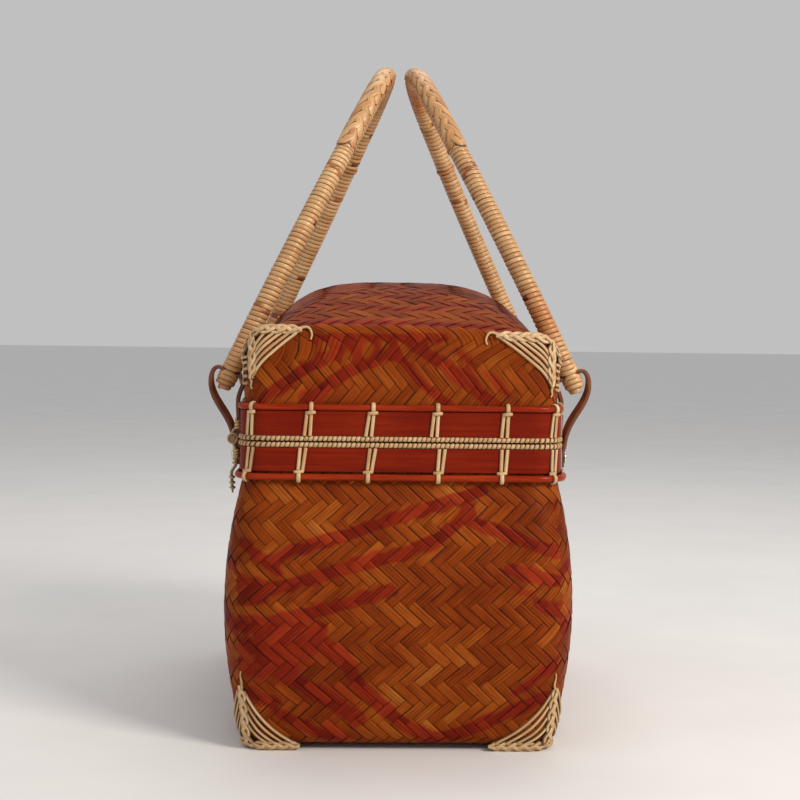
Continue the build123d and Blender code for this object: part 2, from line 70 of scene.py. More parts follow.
# ------------------------------------------------------------------ meshes
class Strands:
    """Collects swept strands, which become one mesh."""

    def __init__(self):
        self.v, self.f, self.n = [], [], 0
        self.at = {"along": [], "across": [], "tone": [], "dye": []}

    def raw(self, V, F, along, across, tone, dye):
        """V is (m, 3); F is (k, 3 or 4) of local indices."""
        self.v.append(V)
        self.f.append(F + self.n)
        self.n += len(V)
        for key, value in (("along", along), ("across", across), ("tone", tone), ("dye", dye)):
            self.at[key].append(np.broadcast_to(np.asarray(value, float), (len(V),)))

    def sweep(self, P, N, sec, closed=False, caps=True, tone=0.5, dye=0.0, scale=None, along0=0.0):
        P = np.asarray(P, float)
        N = np.asarray(N, float)
        if N.ndim == 1:
            N = np.broadcast_to(N, P.shape)
        n, k = len(P), len(sec)
        if closed:
            T = np.roll(P, -1, 0) - np.roll(P, 1, 0)
        else:
            T = np.gradient(P, axis=0)
        T = T / np.maximum(np.linalg.norm(T, axis=1, keepdims=True), 1e-9)
        B = np.cross(T, N)
        B = B / np.maximum(np.linalg.norm(B, axis=1, keepdims=True), 1e-9)
        N2 = np.cross(B, T)
        sec = np.asarray(sec, float)
        g = np.ones(n) if scale is None else np.asarray(scale, float)
        V = (
            P[:, None, :]
            + (g[:, None] * sec[None, :, 0])[:, :, None] * B[:, None, :]
            + (g[:, None] * sec[None, :, 1])[:, :, None] * N2[:, None, :]
        )
        idx = np.arange(n * k).reshape(n, k)
        a, b = (idx, np.roll(idx, -1, 0)) if closed else (idx[:-1], idx[1:])
        F = np.stack([a, b, np.roll(b, -1, 1), np.roll(a, -1, 1)], -1).reshape(-1, 4)
        step = np.linalg.norm(np.diff(P, axis=0), axis=1)
        s = along0 + np.concatenate([[0], np.cumsum(step)])
        across = sec[:, 0] / max(np.abs(sec[:, 0]).max(), 1e-9)
        base = self.n
        self.raw(
            V.reshape(-1, 3),
            F,
            np.repeat(s, k),
            np.tile(across, n),
            tone if np.ndim(tone) == 0 else np.repeat(tone, k),
            dye if np.ndim(dye) == 0 else np.repeat(dye, k),
        )
        if caps and not closed:
            # fans of quads and triangles over the two ends
            first, last = idx[0] + base, idx[-1] + base
            self.f.append(np.array([[first[0], first[i], first[i + 1]] for i in range(1, k - 1)]))
            self.f.append(np.array([[last[0], last[i + 1], last[i]] for i in range(1, k - 1)]))

    def make(self, name, body, slot, material, replaces=(), sharp=50.0, smooth=True):
        V = np.concatenate(self.v) * MM
        faces = []
        for f in self.f:
            faces.extend(f.tolist())
        me = bpy.data.meshes.new(name)
        me.from_pydata(V.tolist(), [], faces)
        for key, parts in self.at.items():
            a = me.attributes.new(key, "FLOAT", "POINT")
            a.data.foreach_set("value", np.concatenate(parts).astype(np.float32))
        me.materials.append(material)
        if smooth:
            me.polygons.foreach_set("use_smooth", np.ones(len(me.polygons), bool))
            if sharp < 180:
                me.set_sharp_from_angle(angle=math.radians(sharp))
        me.update()
        ob = bpy.data.objects.new(name, me)
        bpy.context.scene.collection.objects.link(ob)
        if body is not None:
            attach(ob, body)
        if replaces:
            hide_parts(*replaces)
        return ob


def flat_section(w, t, crown=0.0):
    """A flat strand with rounded shoulders; the crown is on its +n side."""
    a, b = w / 2, t / 2
    return [
        (-a, -b * 0.6), (-a * 0.8, -b), (a * 0.8, -b), (a, -b * 0.6), (a, b * 0.35),
        (a * 0.72, b), (0, b + crown), (-a * 0.72, b), (-a, b * 0.35),
    ]


def low_section(w, t, crown=0.0):
    a, b = w / 2, t / 2
    return [(-a, -b), (a, -b), (a, b * 0.3), (a * 0.6, b), (0, b + crown), (-a * 0.6, b), (-a, b * 0.3)]


def round_section(r, k=8):
    return [(r * math.cos(2 * math.pi * i / k), r * math.sin(2 * math.pi * i / k)) for i in range(k)]


def catmull(points, steps=6):
    p = np.asarray(points, float)
    p = np.vstack([2 * p[0] - p[1], p, 2 * p[-1] - p[-2]])
    out = []
    for i in range(1, len(p) - 2):
        for s in range(steps):
            t = s / steps
            a, b, c, d = p[i - 1], p[i], p[i + 1], p[i + 2]
            out.append(0.5 * (2 * b + (c - a) * t + (2 * a - 5 * b + 4 * c - d) * t * t + (3 * b - a - 3 * c + d) * t**3))
    out.append(p[-2])
    return np.array(out)


def resample(P, step):
    P = np.asarray(P, float)
    d = np.concatenate([[0], np.cumsum(np.linalg.norm(np.diff(P, axis=0), axis=1))])
    n = max(2, int(round(d[-1] / step)) + 1)
    s = np.linspace(0, d[-1], n)
    return np.stack([np.interp(s, d, P[:, k]) for k in range(P.shape[1])], 1)


def noise1(n, size, rng):
    """Smooth random line of n values, about one bump per size steps."""
    m = max(4, int(n / size) + 3)
    return np.interp(np.linspace(0, m - 1, n), np.arange(m), rng.uniform(-1, 1, m))


# --------------------------------------------------------------- materials
def new_material(name):
    m = bpy.data.materials.new(name)
    m.use_nodes = True
    nt = m.node_tree
    nt.nodes.clear()
    out = nt.nodes.new("ShaderNodeOutputMaterial")
    bsdf = nt.nodes.new("ShaderNodeBsdfPrincipled")
    nt.links.new(bsdf.outputs["BSDF"], out.inputs["Surface"])
    return m, nt, bsdf


class Nodes:
    """Short ways to write a node tree."""

    def __init__(self, nt):
        self.nt = nt

    def put(self, socket, value):
        if isinstance(value, bpy.types.NodeSocket):
            self.nt.links.new(value, socket)
        elif value is not None:
            socket.default_value = value

    def attr(self, name):
        n = self.nt.nodes.new("ShaderNodeAttribute")
        n.attribute_name = name
        return n.outputs["Fac"]

    def coords(self):
        return self.nt.nodes.new("ShaderNodeTexCoord").outputs["Object"]

    def math(self, op, a, b=None, clamp=False):
        n = self.nt.nodes.new("ShaderNodeMath")
        n.operation = op
        n.use_clamp = clamp
        self.put(n.inputs[0], a)
        self.put(n.inputs[1], b)
        return n.outputs[0]

    def combine(self, x, y, z):
        n = self.nt.nodes.new("ShaderNodeCombineXYZ")
        for s, v in zip(n.inputs, (x, y, z)):
            self.put(s, v)
        return n.outputs[0]

    def noise(self, vector, scale, detail=2.0, rough=0.5):
        n = self.nt.nodes.new("ShaderNodeTexNoise")
        self.put(n.inputs["Vector"], vector)
        n.inputs["Scale"].default_value = scale
        n.inputs["Detail"].default_value = detail
        n.inputs["Roughness"].default_value = rough
        return n.outputs[0]

    def remap(self, v, a, b, c, d, smooth=True):
        n = self.nt.nodes.new("ShaderNodeMapRange")
        n.interpolation_type = "SMOOTHSTEP" if smooth else "LINEAR"
        self.put(n.inputs["Value"], v)
        for key, x in (("From Min", a), ("From Max", b), ("To Min", c), ("To Max", d)):
            n.inputs[key].default_value = x
        return n.outputs["Result"]

    def ramp(self, v, stops):
        n = self.nt.nodes.new("ShaderNodeValToRGB")
        e = n.color_ramp.elements
        while len(e) > 1:
            e.remove(e[-1])
        e[0].position, e[0].color = stops[0][0], (*stops[0][1], 1)
        for p, c in stops[1:]:
            x = e.new(p)
            x.color = (*c, 1)
        self.put(n.inputs["Fac"], v)
        return n.outputs["Color"]

    def mix(self, fac, a, b, mode="MIX"):
        n = self.nt.nodes.new("ShaderNodeMix")
        n.data_type = "RGBA"
        n.blend_type = mode
        self.put(n.inputs[0], fac)
        for s, v in ((n.inputs[6], a), (n.inputs[7], b)):
            if isinstance(v, tuple):
                v = (*v, 1.0)
            self.put(s, v)
        return n.outputs[2]

    def bump(self, height, strength, distance):
        n = self.nt.nodes.new("ShaderNodeBump")
        n.inputs["Strength"].default_value = strength
        n.inputs["Distance"].default_value = distance
        self.put(n.inputs["Height"], height)
        return n.outputs["Normal"]


def bamboo_material(name):
    """Varnished bamboo strip: honey to brown, fibres along it, dyed red in bands."""
    m, nt, bsdf = new_material(name)
    k = Nodes(nt)
    along, across, tone, dye = k.attr("along"), k.attr("across"), k.attr("tone"), k.attr("dye")
    shift = k.math("MULTIPLY", tone, 97.0)
    uv = k.combine(k.math("MULTIPLY", along, 0.035), k.math("MULTIPLY", across, 0.35), shift)
    patch = k.noise(uv, 1.0, 3.0, 0.55)
    fibre = k.noise(k.combine(k.math("MULTIPLY", along, 0.05), k.math("MULTIPLY", across, 4.2), shift), 1.0, 4.0, 0.65)
    blot = k.noise(k.coords(), 26.0, 3.0, 0.6)
    v = k.math("ADD", k.math("MULTIPLY", tone, 0.34), k.math("MULTIPLY", patch, 0.6))
    v = k.math("ADD", v, k.math("MULTIPLY", k.math("SUBTRACT", blot, 0.5), 0.7))
    honey = k.ramp(
        v,
        [
            (0.06, (0.105, 0.013, 0.002)),
            (0.3, (0.178, 0.026, 0.003)),
            (0.5, (0.246, 0.044, 0.004)),
            (0.7, (0.320, 0.074, 0.008)),
            (0.92, (0.420, 0.138, 0.022)),
        ],
    )
    fibres = k.remap(fibre, 0.32, 0.68, 0.74, 1.14)
    honey = k.mix(1.0, honey, k.combine(fibres, fibres, fibres), "MULTIPLY")
    red = k.ramp(
        k.math("ADD", k.math("MULTIPLY", tone, 0.5), k.math("MULTIPLY", patch, 0.5)),
        [(0.2, (0.100, 0.006, 0.003)), (0.5, (0.185, 0.012, 0.004)), (0.8, (0.290, 0.027, 0.007))],
    )
    red = k.mix(1.0, red, k.combine(fibres, fibres, fibres), "MULTIPLY")
    wobble = k.math("ADD", k.math("MULTIPLY", k.math("SUBTRACT", fibre, 0.5), 0.6), k.math("MULTIPLY", k.math("SUBTRACT", tone, 0.5), 0.36))
    dyed = k.remap(k.math("ADD", dye, wobble), 0.3, 0.66, 0.0, 0.95)
    colour = k.mix(dyed, honey, red)
    # two fine splits along some of the strips
    split = k.math("ABSOLUTE", k.math("SUBTRACT", k.math("ABSOLUTE", across), 0.34))
    cut = k.remap(split, 0.03, 0.11, 1.0, 0.0)
    some = k.remap(k.noise(k.combine(k.math("MULTIPLY", along, 0.02), 0.0, shift), 1.0, 1.0, 0.5), 0.42, 0.54, 0.0, 0.5)
    cut = k.math("SUBTRACT", 1.0, k.math("MULTIPLY", cut, some))
    # painted shade: each strip darkens towards its long edges, standing in for the shade in the seams between strips
    edge = k.remap(k.math("ABSOLUTE", across), 0.84, 1.0, 1.0, 0.5)
    edge = k.math("MULTIPLY", edge, cut)
    colour = k.mix(1.0, colour, k.combine(edge, edge, edge), "MULTIPLY")
    k.put(bsdf.inputs["Base Color"], colour)
    k.put(bsdf.inputs["Roughness"], k.remap(fibre, 0.3, 0.7, 0.34, 0.52))
    bsdf.inputs["Specular IOR Level"].default_value = 0.045
    rise = k.remap(k.math("ABSOLUTE", across), 0.55, 1.0, 1.0, 0.0)
    height = k.math("ADD", k.math("MULTIPLY", fibre, 0.25), rise)
    k.put(bsdf.inputs["Normal"], k.bump(height, 0.55, 0.00045))
    return m


def rattan_material(name, pale=1.0, gloss=0.42, warm=0.0):
    """Split rattan: straw coloured, darker at its edges as painted shade in the seams between strands, brown in places.
    """
    m, nt, bsdf = new_material(name)
    k = Nodes(nt)
    along, across, tone, dye = k.attr("along"), k.attr("across"), k.attr("tone"), k.attr("dye")
    shift = k.math("MULTIPLY", tone, 53.0)
    fibre = k.noise(k.combine(k.math("MULTIPLY", along, 0.09), k.math("MULTIPLY", across, 2.4), shift), 1.0, 3.0, 0.6)
    patch = k.noise(k.combine(k.math("MULTIPLY", along, 0.055), 0.0, shift), 1.0, 3.0, 0.6)
    v = k.math("ADD", k.math("MULTIPLY", tone, 0.45), k.math("MULTIPLY", patch, 0.55))
    g, b = pale * (1 - 0.5 * warm), pale * (1 - warm)
    straw = k.ramp(
        v,
        [
            (0.12, (0.30 * pale, 0.130 * g, 0.045 * b)),
            (0.36, (0.47 * pale, 0.260 * g, 0.108 * b)),
            (0.6, (0.60 * pale, 0.385 * g, 0.188 * b)),
            (0.86, (0.74 * pale, 0.54 * g, 0.31 * b)),
        ],
    )
    f = k.remap(fibre, 0.3, 0.7, 0.78, 1.1)
    straw = k.mix(1.0, straw, k.combine(f, f, f), "MULTIPLY")
    orange = k.mix(1.0, straw, (0.88, 0.60, 0.40), "MULTIPLY")
    colour = k.mix(k.remap(dye, 0.1, 0.75, 0.0, 1.0), straw, orange)
    node = k.mix(1.0, straw, (0.26, 0.12, 0.06), "MULTIPLY")
    colour = k.mix(k.remap(dye, 0.88, 0.98, 0.0, 1.0), colour, node)
    # painted shade: the strand darkens towards its edges, standing in for the shade between neighbouring turns and
    # strands
    edge = k.remap(k.math("ABSOLUTE", across), 0.7, 1.0, 1.0, 0.28)
    colour = k.mix(1.0, colour, k.combine(edge, edge, edge), "MULTIPLY")
    k.put(bsdf.inputs["Base Color"], colour)
    k.put(bsdf.inputs["Roughness"], k.remap(fibre, 0.3, 0.7, gloss - 0.07, gloss + 0.14))
    bsdf.inputs["Specular IOR Level"].default_value = 0.5
    k.put(bsdf.inputs["Normal"], k.bump(fibre, 0.35, 0.0003))
    return m


def lacquer_material(name, dark, mid, light, rough, scale, stretch, coat=0.3):
    """Lacquered bamboo: grain that runs round the bag, cloudy in places."""
    m, nt, bsdf = new_material(name)
    k = Nodes(nt)
    sep = nt.nodes.new("ShaderNodeSeparateXYZ")
    k.put(sep.inputs[0], k.coords())
    x, y, z = sep.outputs
    grain = k.noise(k.combine(k.math("MULTIPLY", x, stretch), k.math("MULTIPLY", y, stretch), z), scale, 4.0, 0.6)
    cloud = k.noise(k.coords(), 24.0, 2.0, 0.5)
    v = k.math("ADD", k.math("MULTIPLY", grain, 0.6), k.math("MULTIPLY", cloud, 0.4))
    colour = k.ramp(v, [(0.3, dark), (0.5, mid), (0.7, light)])
    k.put(bsdf.inputs["Base Color"], colour)
    k.put(bsdf.inputs["Roughness"], k.remap(grain, 0.3, 0.7, rough - 0.06, rough + 0.08))
    bsdf.inputs["Specular IOR Level"].default_value = 0.07
    bsdf.inputs["Coat Weight"].default_value = coat
    bsdf.inputs["Coat Roughness"].default_value = 0.18
    k.put(bsdf.inputs["Normal"], k.bump(grain, 0.25, 0.0003))
    return m


def leather_material(name):
    m, nt, bsdf = new_material(name)
    k = Nodes(nt)
    grain = k.noise(k.coords(), 900.0, 3.0, 0.6)
    worn = k.noise(k.coords(), 90.0, 3.0, 0.6)
    colour = k.ramp(worn, [(0.3, (0.140, 0.036, 0.012)), (0.55, (0.255, 0.074, 0.023)), (0.75, (0.370, 0.128, 0.042))])
    across = k.attr("across")
    edge = k.remap(k.math("ABSOLUTE", across), 0.86, 1.0, 1.0, 0.55)
    colour = k.mix(1.0, colour, k.combine(edge, edge, edge), "MULTIPLY")
    k.put(bsdf.inputs["Base Color"], colour)
    k.put(bsdf.inputs["Roughness"], k.remap(worn, 0.3, 0.7, 0.42, 0.62))
    k.put(bsdf.inputs["Normal"], k.bump(grain, 0.35, 0.0002))
    return m


def metal_material(name):
    m, nt, bsdf = new_material(name)
    k = Nodes(nt)
    scratch = k.noise(k.coords(), 1400.0, 2.0, 0.6)
    k.put(bsdf.inputs["Base Color"], k.ramp(scratch, [(0.3, (0.50, 0.47, 0.42)), (0.7, (0.78, 0.76, 0.72))]))
    bsdf.inputs["Metallic"].default_value = 1.0
    k.put(bsdf.inputs["Roughness"], k.remap(scratch, 0.3, 0.7, 0.2, 0.36))
    return m


def core_material(name, dark, light, scale):
    m, nt, bsdf = new_material(name)
    k = Nodes(nt)
    n = k.noise(k.coords(), scale, 3.0, 0.6)
    k.put(bsdf.inputs["Base Color"], k.ramp(n, [(0.3, dark), (0.7, light)]))
    k.put(bsdf.inputs["Roughness"], k.remap(n, 0.3, 0.7, 0.6, 0.8))
    k.put(bsdf.inputs["Normal"], k.bump(n, 0.2, 0.0003))
    return m


BAMBOO = bamboo_material("bamboo_strip")
RATTAN = rattan_material("rattan_strand", 1.0, 0.44, 0.06)
HANDLE_RATTAN = rattan_material("rattan_wrap", 1.02, 0.34, 0.24)
BAND = lacquer_material("lacquered_band", (0.115, 0.006, 0.0015), (0.172, 0.010, 0.002), (0.235, 0.019, 0.003), 0.33, 700.0, 0.03, 0.0)
ROD = lacquer_material("lacquered_rod", (0.17, 0.010, 0.002), (0.27, 0.021, 0.003), (0.37, 0.042, 0.007), 0.28, 900.0, 0.06, 0.08)
LEATHER = leather_material("leather")
METAL = metal_material("rivet_metal")
# painted shade: near-black material for the sheet that shows as shade through the gaps of the weave
GAP_SHADE = core_material("weave_gap_shade", (0.016, 0.006, 0.003), (0.045, 0.016, 0.006), 260.0)
CANE = core_material("cane", (0.20, 0.11, 0.05), (0.36, 0.22, 0.11), 180.0)

# ---------------------------------------------------- the bag's outer faces
BODY_PROFILE = [
    (3.0, 76.4, 10.0), (4.2, 78.6, 11.5), (6.6, 80.4, 13.5), (12.0, 82.3, 16.5),
    (22.0, 84.3, 20.5), (36.0, 86.9, 24.0), (54.0, 89.1, 26.0), (74.0, 89.7, 26.0),
    (94.0, 88.6, 24.5), (110.0, 86.5, 21.5), (124.0, 83.8, 18.0), (134.0, 81.4, 15.5),
    (141.5, 80.0, 13.0), (154.2, 80.0, 13.0),
]
_fine = catmull(BODY_PROFILE, 12)
_fine_s = np.concatenate([[0], np.cumsum(np.hypot(np.diff(_fine[:, 0]), np.diff(_fine[:, 1])))])
LID_W, LID_R, LID_BASE = 79.8, 13.0, 160.4


def body_wall(s):
    """Height, half width and corner radius at arc length s up the wall."""
    return (
        np.interp(s, _fine_s, _fine[:, 0]),
        np.interp(s, _fine_s, _fine[:, 1]),
        np.interp(s, _fine_s, _fine[:, 2]),
    )


def body_at(z):
    return np.interp(z, _fine[:, 0], _fine[:, 1]), np.interp(z, _fine[:, 0], _fine[:, 2])


def lid_height(x, y):
    a = np.abs(x) / LID_W
    b = np.abs(y) / (LID_W + LENGTHEN)
    crown = 28.5 * np.maximum(1 - a**3.4, -0.3) * np.maximum(1 - b**2.2, -0.15)
    long_edge = 16.5 * a**7 * np.maximum(1 - b**14, 0.0)
    short_edge = 2.5 * b**6 * np.maximum(1 - a**2, 0.0)
    # a little higher on the left, as it has settled
    lean = -1.6 * (x / LID_W) * np.minimum(b, 1.1) ** 6
    return 212.5 + crown - long_edge + short_edge + lean


def plan_point(across_half, along_half, r, lateral):
    """A side of a rounded rectangle: the face stands at across_half, and
    lateral runs along it, 1 at the middle of the corner.  Returns how far
    out and how far along."""
    straight = along_half - r
    half = straight + math.pi / 4 * r
    a = np.abs(lateral) * half
    over = np.maximum(a - straight, 0.0)
    phi = over / np.maximum(r, 1e-6)
    sgn = np.sign(lateral)
    out = across_half - r + r * np.cos(phi)
    along = sgn * (np.minimum(a, straight) + r * np.sin(phi))
    return out, along


class Weave:
    """The two families of strips over a box: its flat or domed face and its
    four walls, unfolded on a lattice whose unit is half a cell's diagonal."""

    def __init__(self, kind):
        self.kind = kind
        if kind == "body":
            self.U, self.V, self.depth, self.unit = 22, 35, 46, 3.4
            self.W, self.L, self.R = 76.4, 120.4, 10.0
        else:
            self.U, self.V, self.depth, self.unit = 23, 36, 12, 3.45
            self.W, self.L, self.R = LID_W, LID_W + LENGTHEN, LID_R
            t = np.linspace(0, 1, 400)
            ex, ey = LID_W * t, (LID_W + LENGTHEN) * t
            zx, zy = lid_height(ex, 0 * ex), lid_height(0 * ey, ey)
            sx = np.concatenate([[0], np.cumsum(np.hypot(np.diff(ex), np.diff(zx)))])
            sy = np.concatenate([[0], np.cumsum(np.hypot(np.diff(ey), np.diff(zy)))])
            self.ex, self.sx, self.ey, self.sy = ex, sx / sx[-1], ey, sy / sy[-1]

    def flat(self, p, n, half, real):
        """Where lattice number p of half lies, out of real, on the face."""
        f = np.clip(np.abs(p) / half, 0, 1)
        if self.kind == "body":
            g = f * real
        elif n == 0:
            g = np.interp(f, self.sx, self.ex)
        else:
            g = np.interp(f, self.sy, self.ey)
        return np.sign(p) * g

    def face(self, p, q):
        x = self.flat(np.clip(p, -self.U, self.U), 0, self.U, self.W)
        y = self.flat(np.clip(q, -self.V, self.V), 1, self.V, self.L)
        mx, my = self.W - np.abs(x), self.L - np.abs(y)
        m = np.minimum(mx, my)
        r = np.maximum(self.R - m, 0.0)
        end = my <= mx
        o1, a1 = plan_point(self.L - m, self.W - m, r, x / (self.W - m + 1e-6) * 1.0)
        o2, a2 = plan_point(self.W - m, self.L - m, r, y / (self.L - m + 1e-6) * 1.0)
        near = m < self.R
        X = np.where(end, a1, np.sign(x) * o2)
        Y = np.where(end, np.sign(y) * o1, a2)
        X = np.where(near, X, x)
        Y = np.where(near, Y, y)
        Z = np.full_like(X, 3.0) if self.kind == "body" else lid_height(X, Y)
        return np.stack([X, Y, Z], -1)

    def wall(self, side, a, h):
        """side 0 +X, 1 +Y, 2 -X, 3 -Y; a along it in lattice units, h deep."""
        endwall = side % 2 == 1
        sign = 1.0 if side < 2 else -1.0
        half = self.U if endwall else self.V
        lin = a / half
        clipped = np.clip(a, -half, half)
        if self.kind == "body":
            lat = lin
            z, w, r = body_wall(h * self.unit)
        else:
            if endwall:
                near = self.flat(clipped, 0, self.U, 1.0 * self.W) / self.W
            else:
                near = self.flat(clipped, 1, self.V, self.L) / self.L
            near = near + (a - clipped) / half
            s = np.clip(h / 4.0, 0, 1)
            s = s * s * (3 - 2 * s)
            lat = near * (1 - s) + lin * s
            w, r = np.full_like(lat, self.W), np.full_like(lat, self.R)
        if endwall:
            out, along = plan_point(w + LENGTHEN, w, r, lat)
            X, Y = along, sign * out
        else:
            out, along = plan_point(w, w + LENGTHEN, r, lat)
            X, Y = sign * out, along
        if self.kind == "body":
            Z = z
        else:
            edge = lid_height(np.clip(X, -self.W, self.W), np.clip(Y, -self.L, self.L))
            drop = h * (0.5 * (edge - 170.5) / 9.6 + 0.5 * self.unit)
            Z = edge - drop
        return np.stack([X, Y, Z], -1)

    def point(self, side, a, m):
        """m above 0 is on the face, below 0 down the wall."""
        endwall = side % 2 == 1
        sign = 1.0 if side < 2 else -1.0
        deep = (self.V if endwall else self.U) - np.maximum(m, 0)
        p, q = (a, sign * deep) if endwall else (sign * deep, a)
        top = self.face(p, q)
        wall = self.wall(side, a, np.maximum(-m, 0))
        return np.where((m > 0)[..., None], top, wall)

    def smooth_point(self, side, a, m):
        spread = 1.3
        total = 0
        for d, w in ((-1.0, 0.12), (-0.5, 0.23), (0.0, 0.3), (0.5, 0.23), (1.0, 0.12)):
            total = total + w * self.point(side, a, m + d * spread)
        return total

    def surface(self, side, a, m):
        """Point and outward normal."""
        P = self.smooth_point(side, a, m)
        e = 0.2
        da = self.smooth_point(side, a + e, m) - self.smooth_point(side, a - e, m)
        dm = self.smooth_point(side, a, m + e) - self.smooth_point(side, a, m - e)
        N = np.cross(da, dm)
        N = N / np.maximum(np.linalg.norm(N, axis=-1, keepdims=True), 1e-9)
        centre = np.array([0, 0, 80.0 if self.kind == "body" else 185.0])
        ref = P - centre
        if self.kind == "body":
            ref = ref * np.array([1, 1, 0.8])
        N = N * np.where((N * ref).sum(-1, keepdims=True) < 0, -1.0, 1.0)
        return P, N

    def side_of(self, p, q):
        mu, mv = self.U - np.abs(p), self.V - np.abs(q)
        end = mv <= mu
        return np.where(end, np.where(q > 0, 1, 3), np.where(p > 0, 0, 2)), np.minimum(mu, mv), end

    def at(self, p, q, side):
        """Surface at lattice (p, q), read on the given side's unfolding."""
        P = np.zeros((len(p), 3))
        N = np.zeros((len(p), 3))
        for k in range(4):
            sel = side == k
            if not sel.any():
                continue
            # signed, so that a strip can lie across the middle line
            sign = 1.0 if k < 2 else -1.0
            if k % 2 == 1:
                a, m = p[sel], self.V - sign * q[sel]
            else:
                a, m = q[sel], self.U - sign * p[sel]
            P[sel], N[sel] = self.surface(k, a, m)
        return P, N


def segments_dye(x, z, lines):
    """How strongly red at (x, z): near any of the lines, each a list of
    points, its half width, and its strength."""
    out = np.zeros_like(x)
    for pts, half, strength in lines:
        for (x0, z0), (x1, z1) in zip(pts[:-1], pts[1:]):
            dx, dz = x1 - x0, z1 - z0
            t = np.clip(((x - x0) * dx + (z - z0) * dz) / (dx * dx + dz * dz), 0, 1)
            d = np.hypot(x - x0 - t * dx, z - z0 - t * dz)
            out = np.maximum(out, strength * np.clip(1.5 - d / half, 0, 1))
    return out


END_BODY = [
    ([(-66, 97), (-54, 103), (-24, 112), (1, 121), (26, 128), (42, 134)], 3.1, 1.0),
    ([(-78, 82), (-55, 86), (-24, 96), (1, 102), (20, 110), (34, 124)], 3.3, 1.0),
    ([(-62, 68), (-49, 71), (-24, 78), (-4, 84)], 3.2, 1.0),
    ([(-50, 66), (-41, 59), (-29, 51), (-19, 34), (1, 16), (16, 6)], 3.6, 1.0),
    ([(-86, 30), (-60, 60), (-40, 44), (-30, 16)], 16.0, 0.4),
    ([(-70, 52), (-64, 45), (-38, 29), (-20, 18)], 3.8, 1.0),
    ([(36, 118), (52, 113), (72, 105), (92, 100)], 3.1, 1.0),
    ([(54, 95), (72, 90), (92, 86)], 3.1, 1.0),
    ([(70, 77), (92, 67)], 3.2, 0.9),
    ([(14, 5), (34, 11), (75, 30)], 3.4, 1.0),
    ([(60, 33), (80, 46), (92, 60)], 3.0, 0.8),
    ([(-92, 55), (-45, 54)], 4.4, 1.0),
    ([(-92, 66), (-40, 64)], 4.4, 1.0),
    ([(-92, 45), (-56, 44)], 4.2, 1.0),
    ([(-92, 78), (-70, 80)], 4.0, 0.95),
    ([(-92, 112), (-78, 106), (-62, 92)], 3.2, 0.8),
    ([(-92, 90), (-60, 84)], 3.2, 0.75),
    ([(-92, 34), (-62, 26)], 3.6, 0.85),
    ([(-60, 20), (-30, 6)], 3.4, 0.8),
    ([(38, 96), (60, 84), (92, 74)], 2.6, 0.45),
]
SIDE_BODY = [
    ([(-130, 60), (-96, 84), (-52, 118), (-30, 132)], 3.8, 1.0),
    ([(-110, 42), (-70, 74), (-24, 108), (0, 124)], 3.8, 1.0),
    ([(0, 124), (24, 108), (70, 74), (112, 42)], 3.8, 1.0),
    ([(30, 132), (52, 118), (96, 84), (130, 60)], 3.8, 1.0),
    ([(-70, 30), (-30, 62), (0, 86)], 3.6, 0.9),
    ([(70, 30), (30, 62), (0, 86)], 3.6, 0.9),
    ([(-130, 34), (-100, 14)], 3.6, 0.9),
    ([(130, 34), (100, 14)], 3.6, 0.9),
    ([(-60, 12), (-20, 42), (0, 54)], 3.2, 0.8),
    ([(60, 12), (20, 42), (0, 54)], 3.2, 0.8),
    ([(-130, 90), (-112, 100)], 3.0, 0.8),
    ([(130, 90), (112, 100)], 3.0, 0.8),
]
END_LID = [
    ([(-24, 206), (-33, 202), (-50, 193), (-70, 178)], 3.0, 1.0),
    ([(-4, 203), (-27, 193), (-48, 178)], 3.2, 1.0),
    ([(4, 207), (27, 193), (47, 176)], 3.2, 1.0),
    ([(-2, 200), (13, 185), (25, 175)], 2.6, 0.85),
    ([(26, 205), (44, 190), (58, 178)], 2.4, 0.6),
    ([(-44, 209), (22, 210)], 2.6, 0.85),
]
SIDE_LID = [
    ([(0, 197), (-26, 186), (-54, 172)], 2.8, 1.0),
    ([(0, 197), (26, 186), (54, 172)], 2.8, 1.0),
    ([(-34, 199), (-62, 186), (-92, 172)], 2.8, 0.9),
    ([(34, 199), (62, 186), (92, 172)], 2.8, 0.9),
    ([(-110, 200), (-74, 200)], 2.4, 0.7),
    ([(110, 200), (74, 200)], 2.4, 0.7),
]


def dye_at(kind, P, side, inset):
    """Simple bands of red: nested chevrons on every face."""
    x, y, z = P[:, 0], P[:, 1], P[:, 2]
    lateral = np.where(side == 3, x, np.where(side == 1, -x, np.where(side == 0, y, -y)))
    end = side % 2 == 1
    out = np.zeros(len(P))
    if kind == "body":
        out = np.where(end, segments_dye(lateral, z, END_BODY), segments_dye(lateral, z, SIDE_BODY))
        out = np.where(inset > 0.5, 0.15, out)
    else:
        out = np.where(end, segments_dye(lateral, z, END_LID), segments_dye(lateral, z, SIDE_LID))
        # the crown: shallow chevrons across it, closer together near the ends
        d = 124.0 - np.abs(y)
        wave = 0.0
        for c, slope, half, strength in (
            (5.0, 0.02, 3.2, 0.95), (24.0, 0.34, 3.4, 0.75), (47.0, 0.42, 3.6, 0.8),
            (70.0, 0.5, 3.8, 0.75), (96.0, 0.5, 4.0, 0.75), (120.0, 0.5, 4.0, 0.7),
        ):
            wave = np.maximum(wave, strength * np.clip(1.4 - np.abs(d - c - slope * np.abs(x)) / half, 0, 1))
        out = np.where(inset > 0.7, wave, out)
    return out


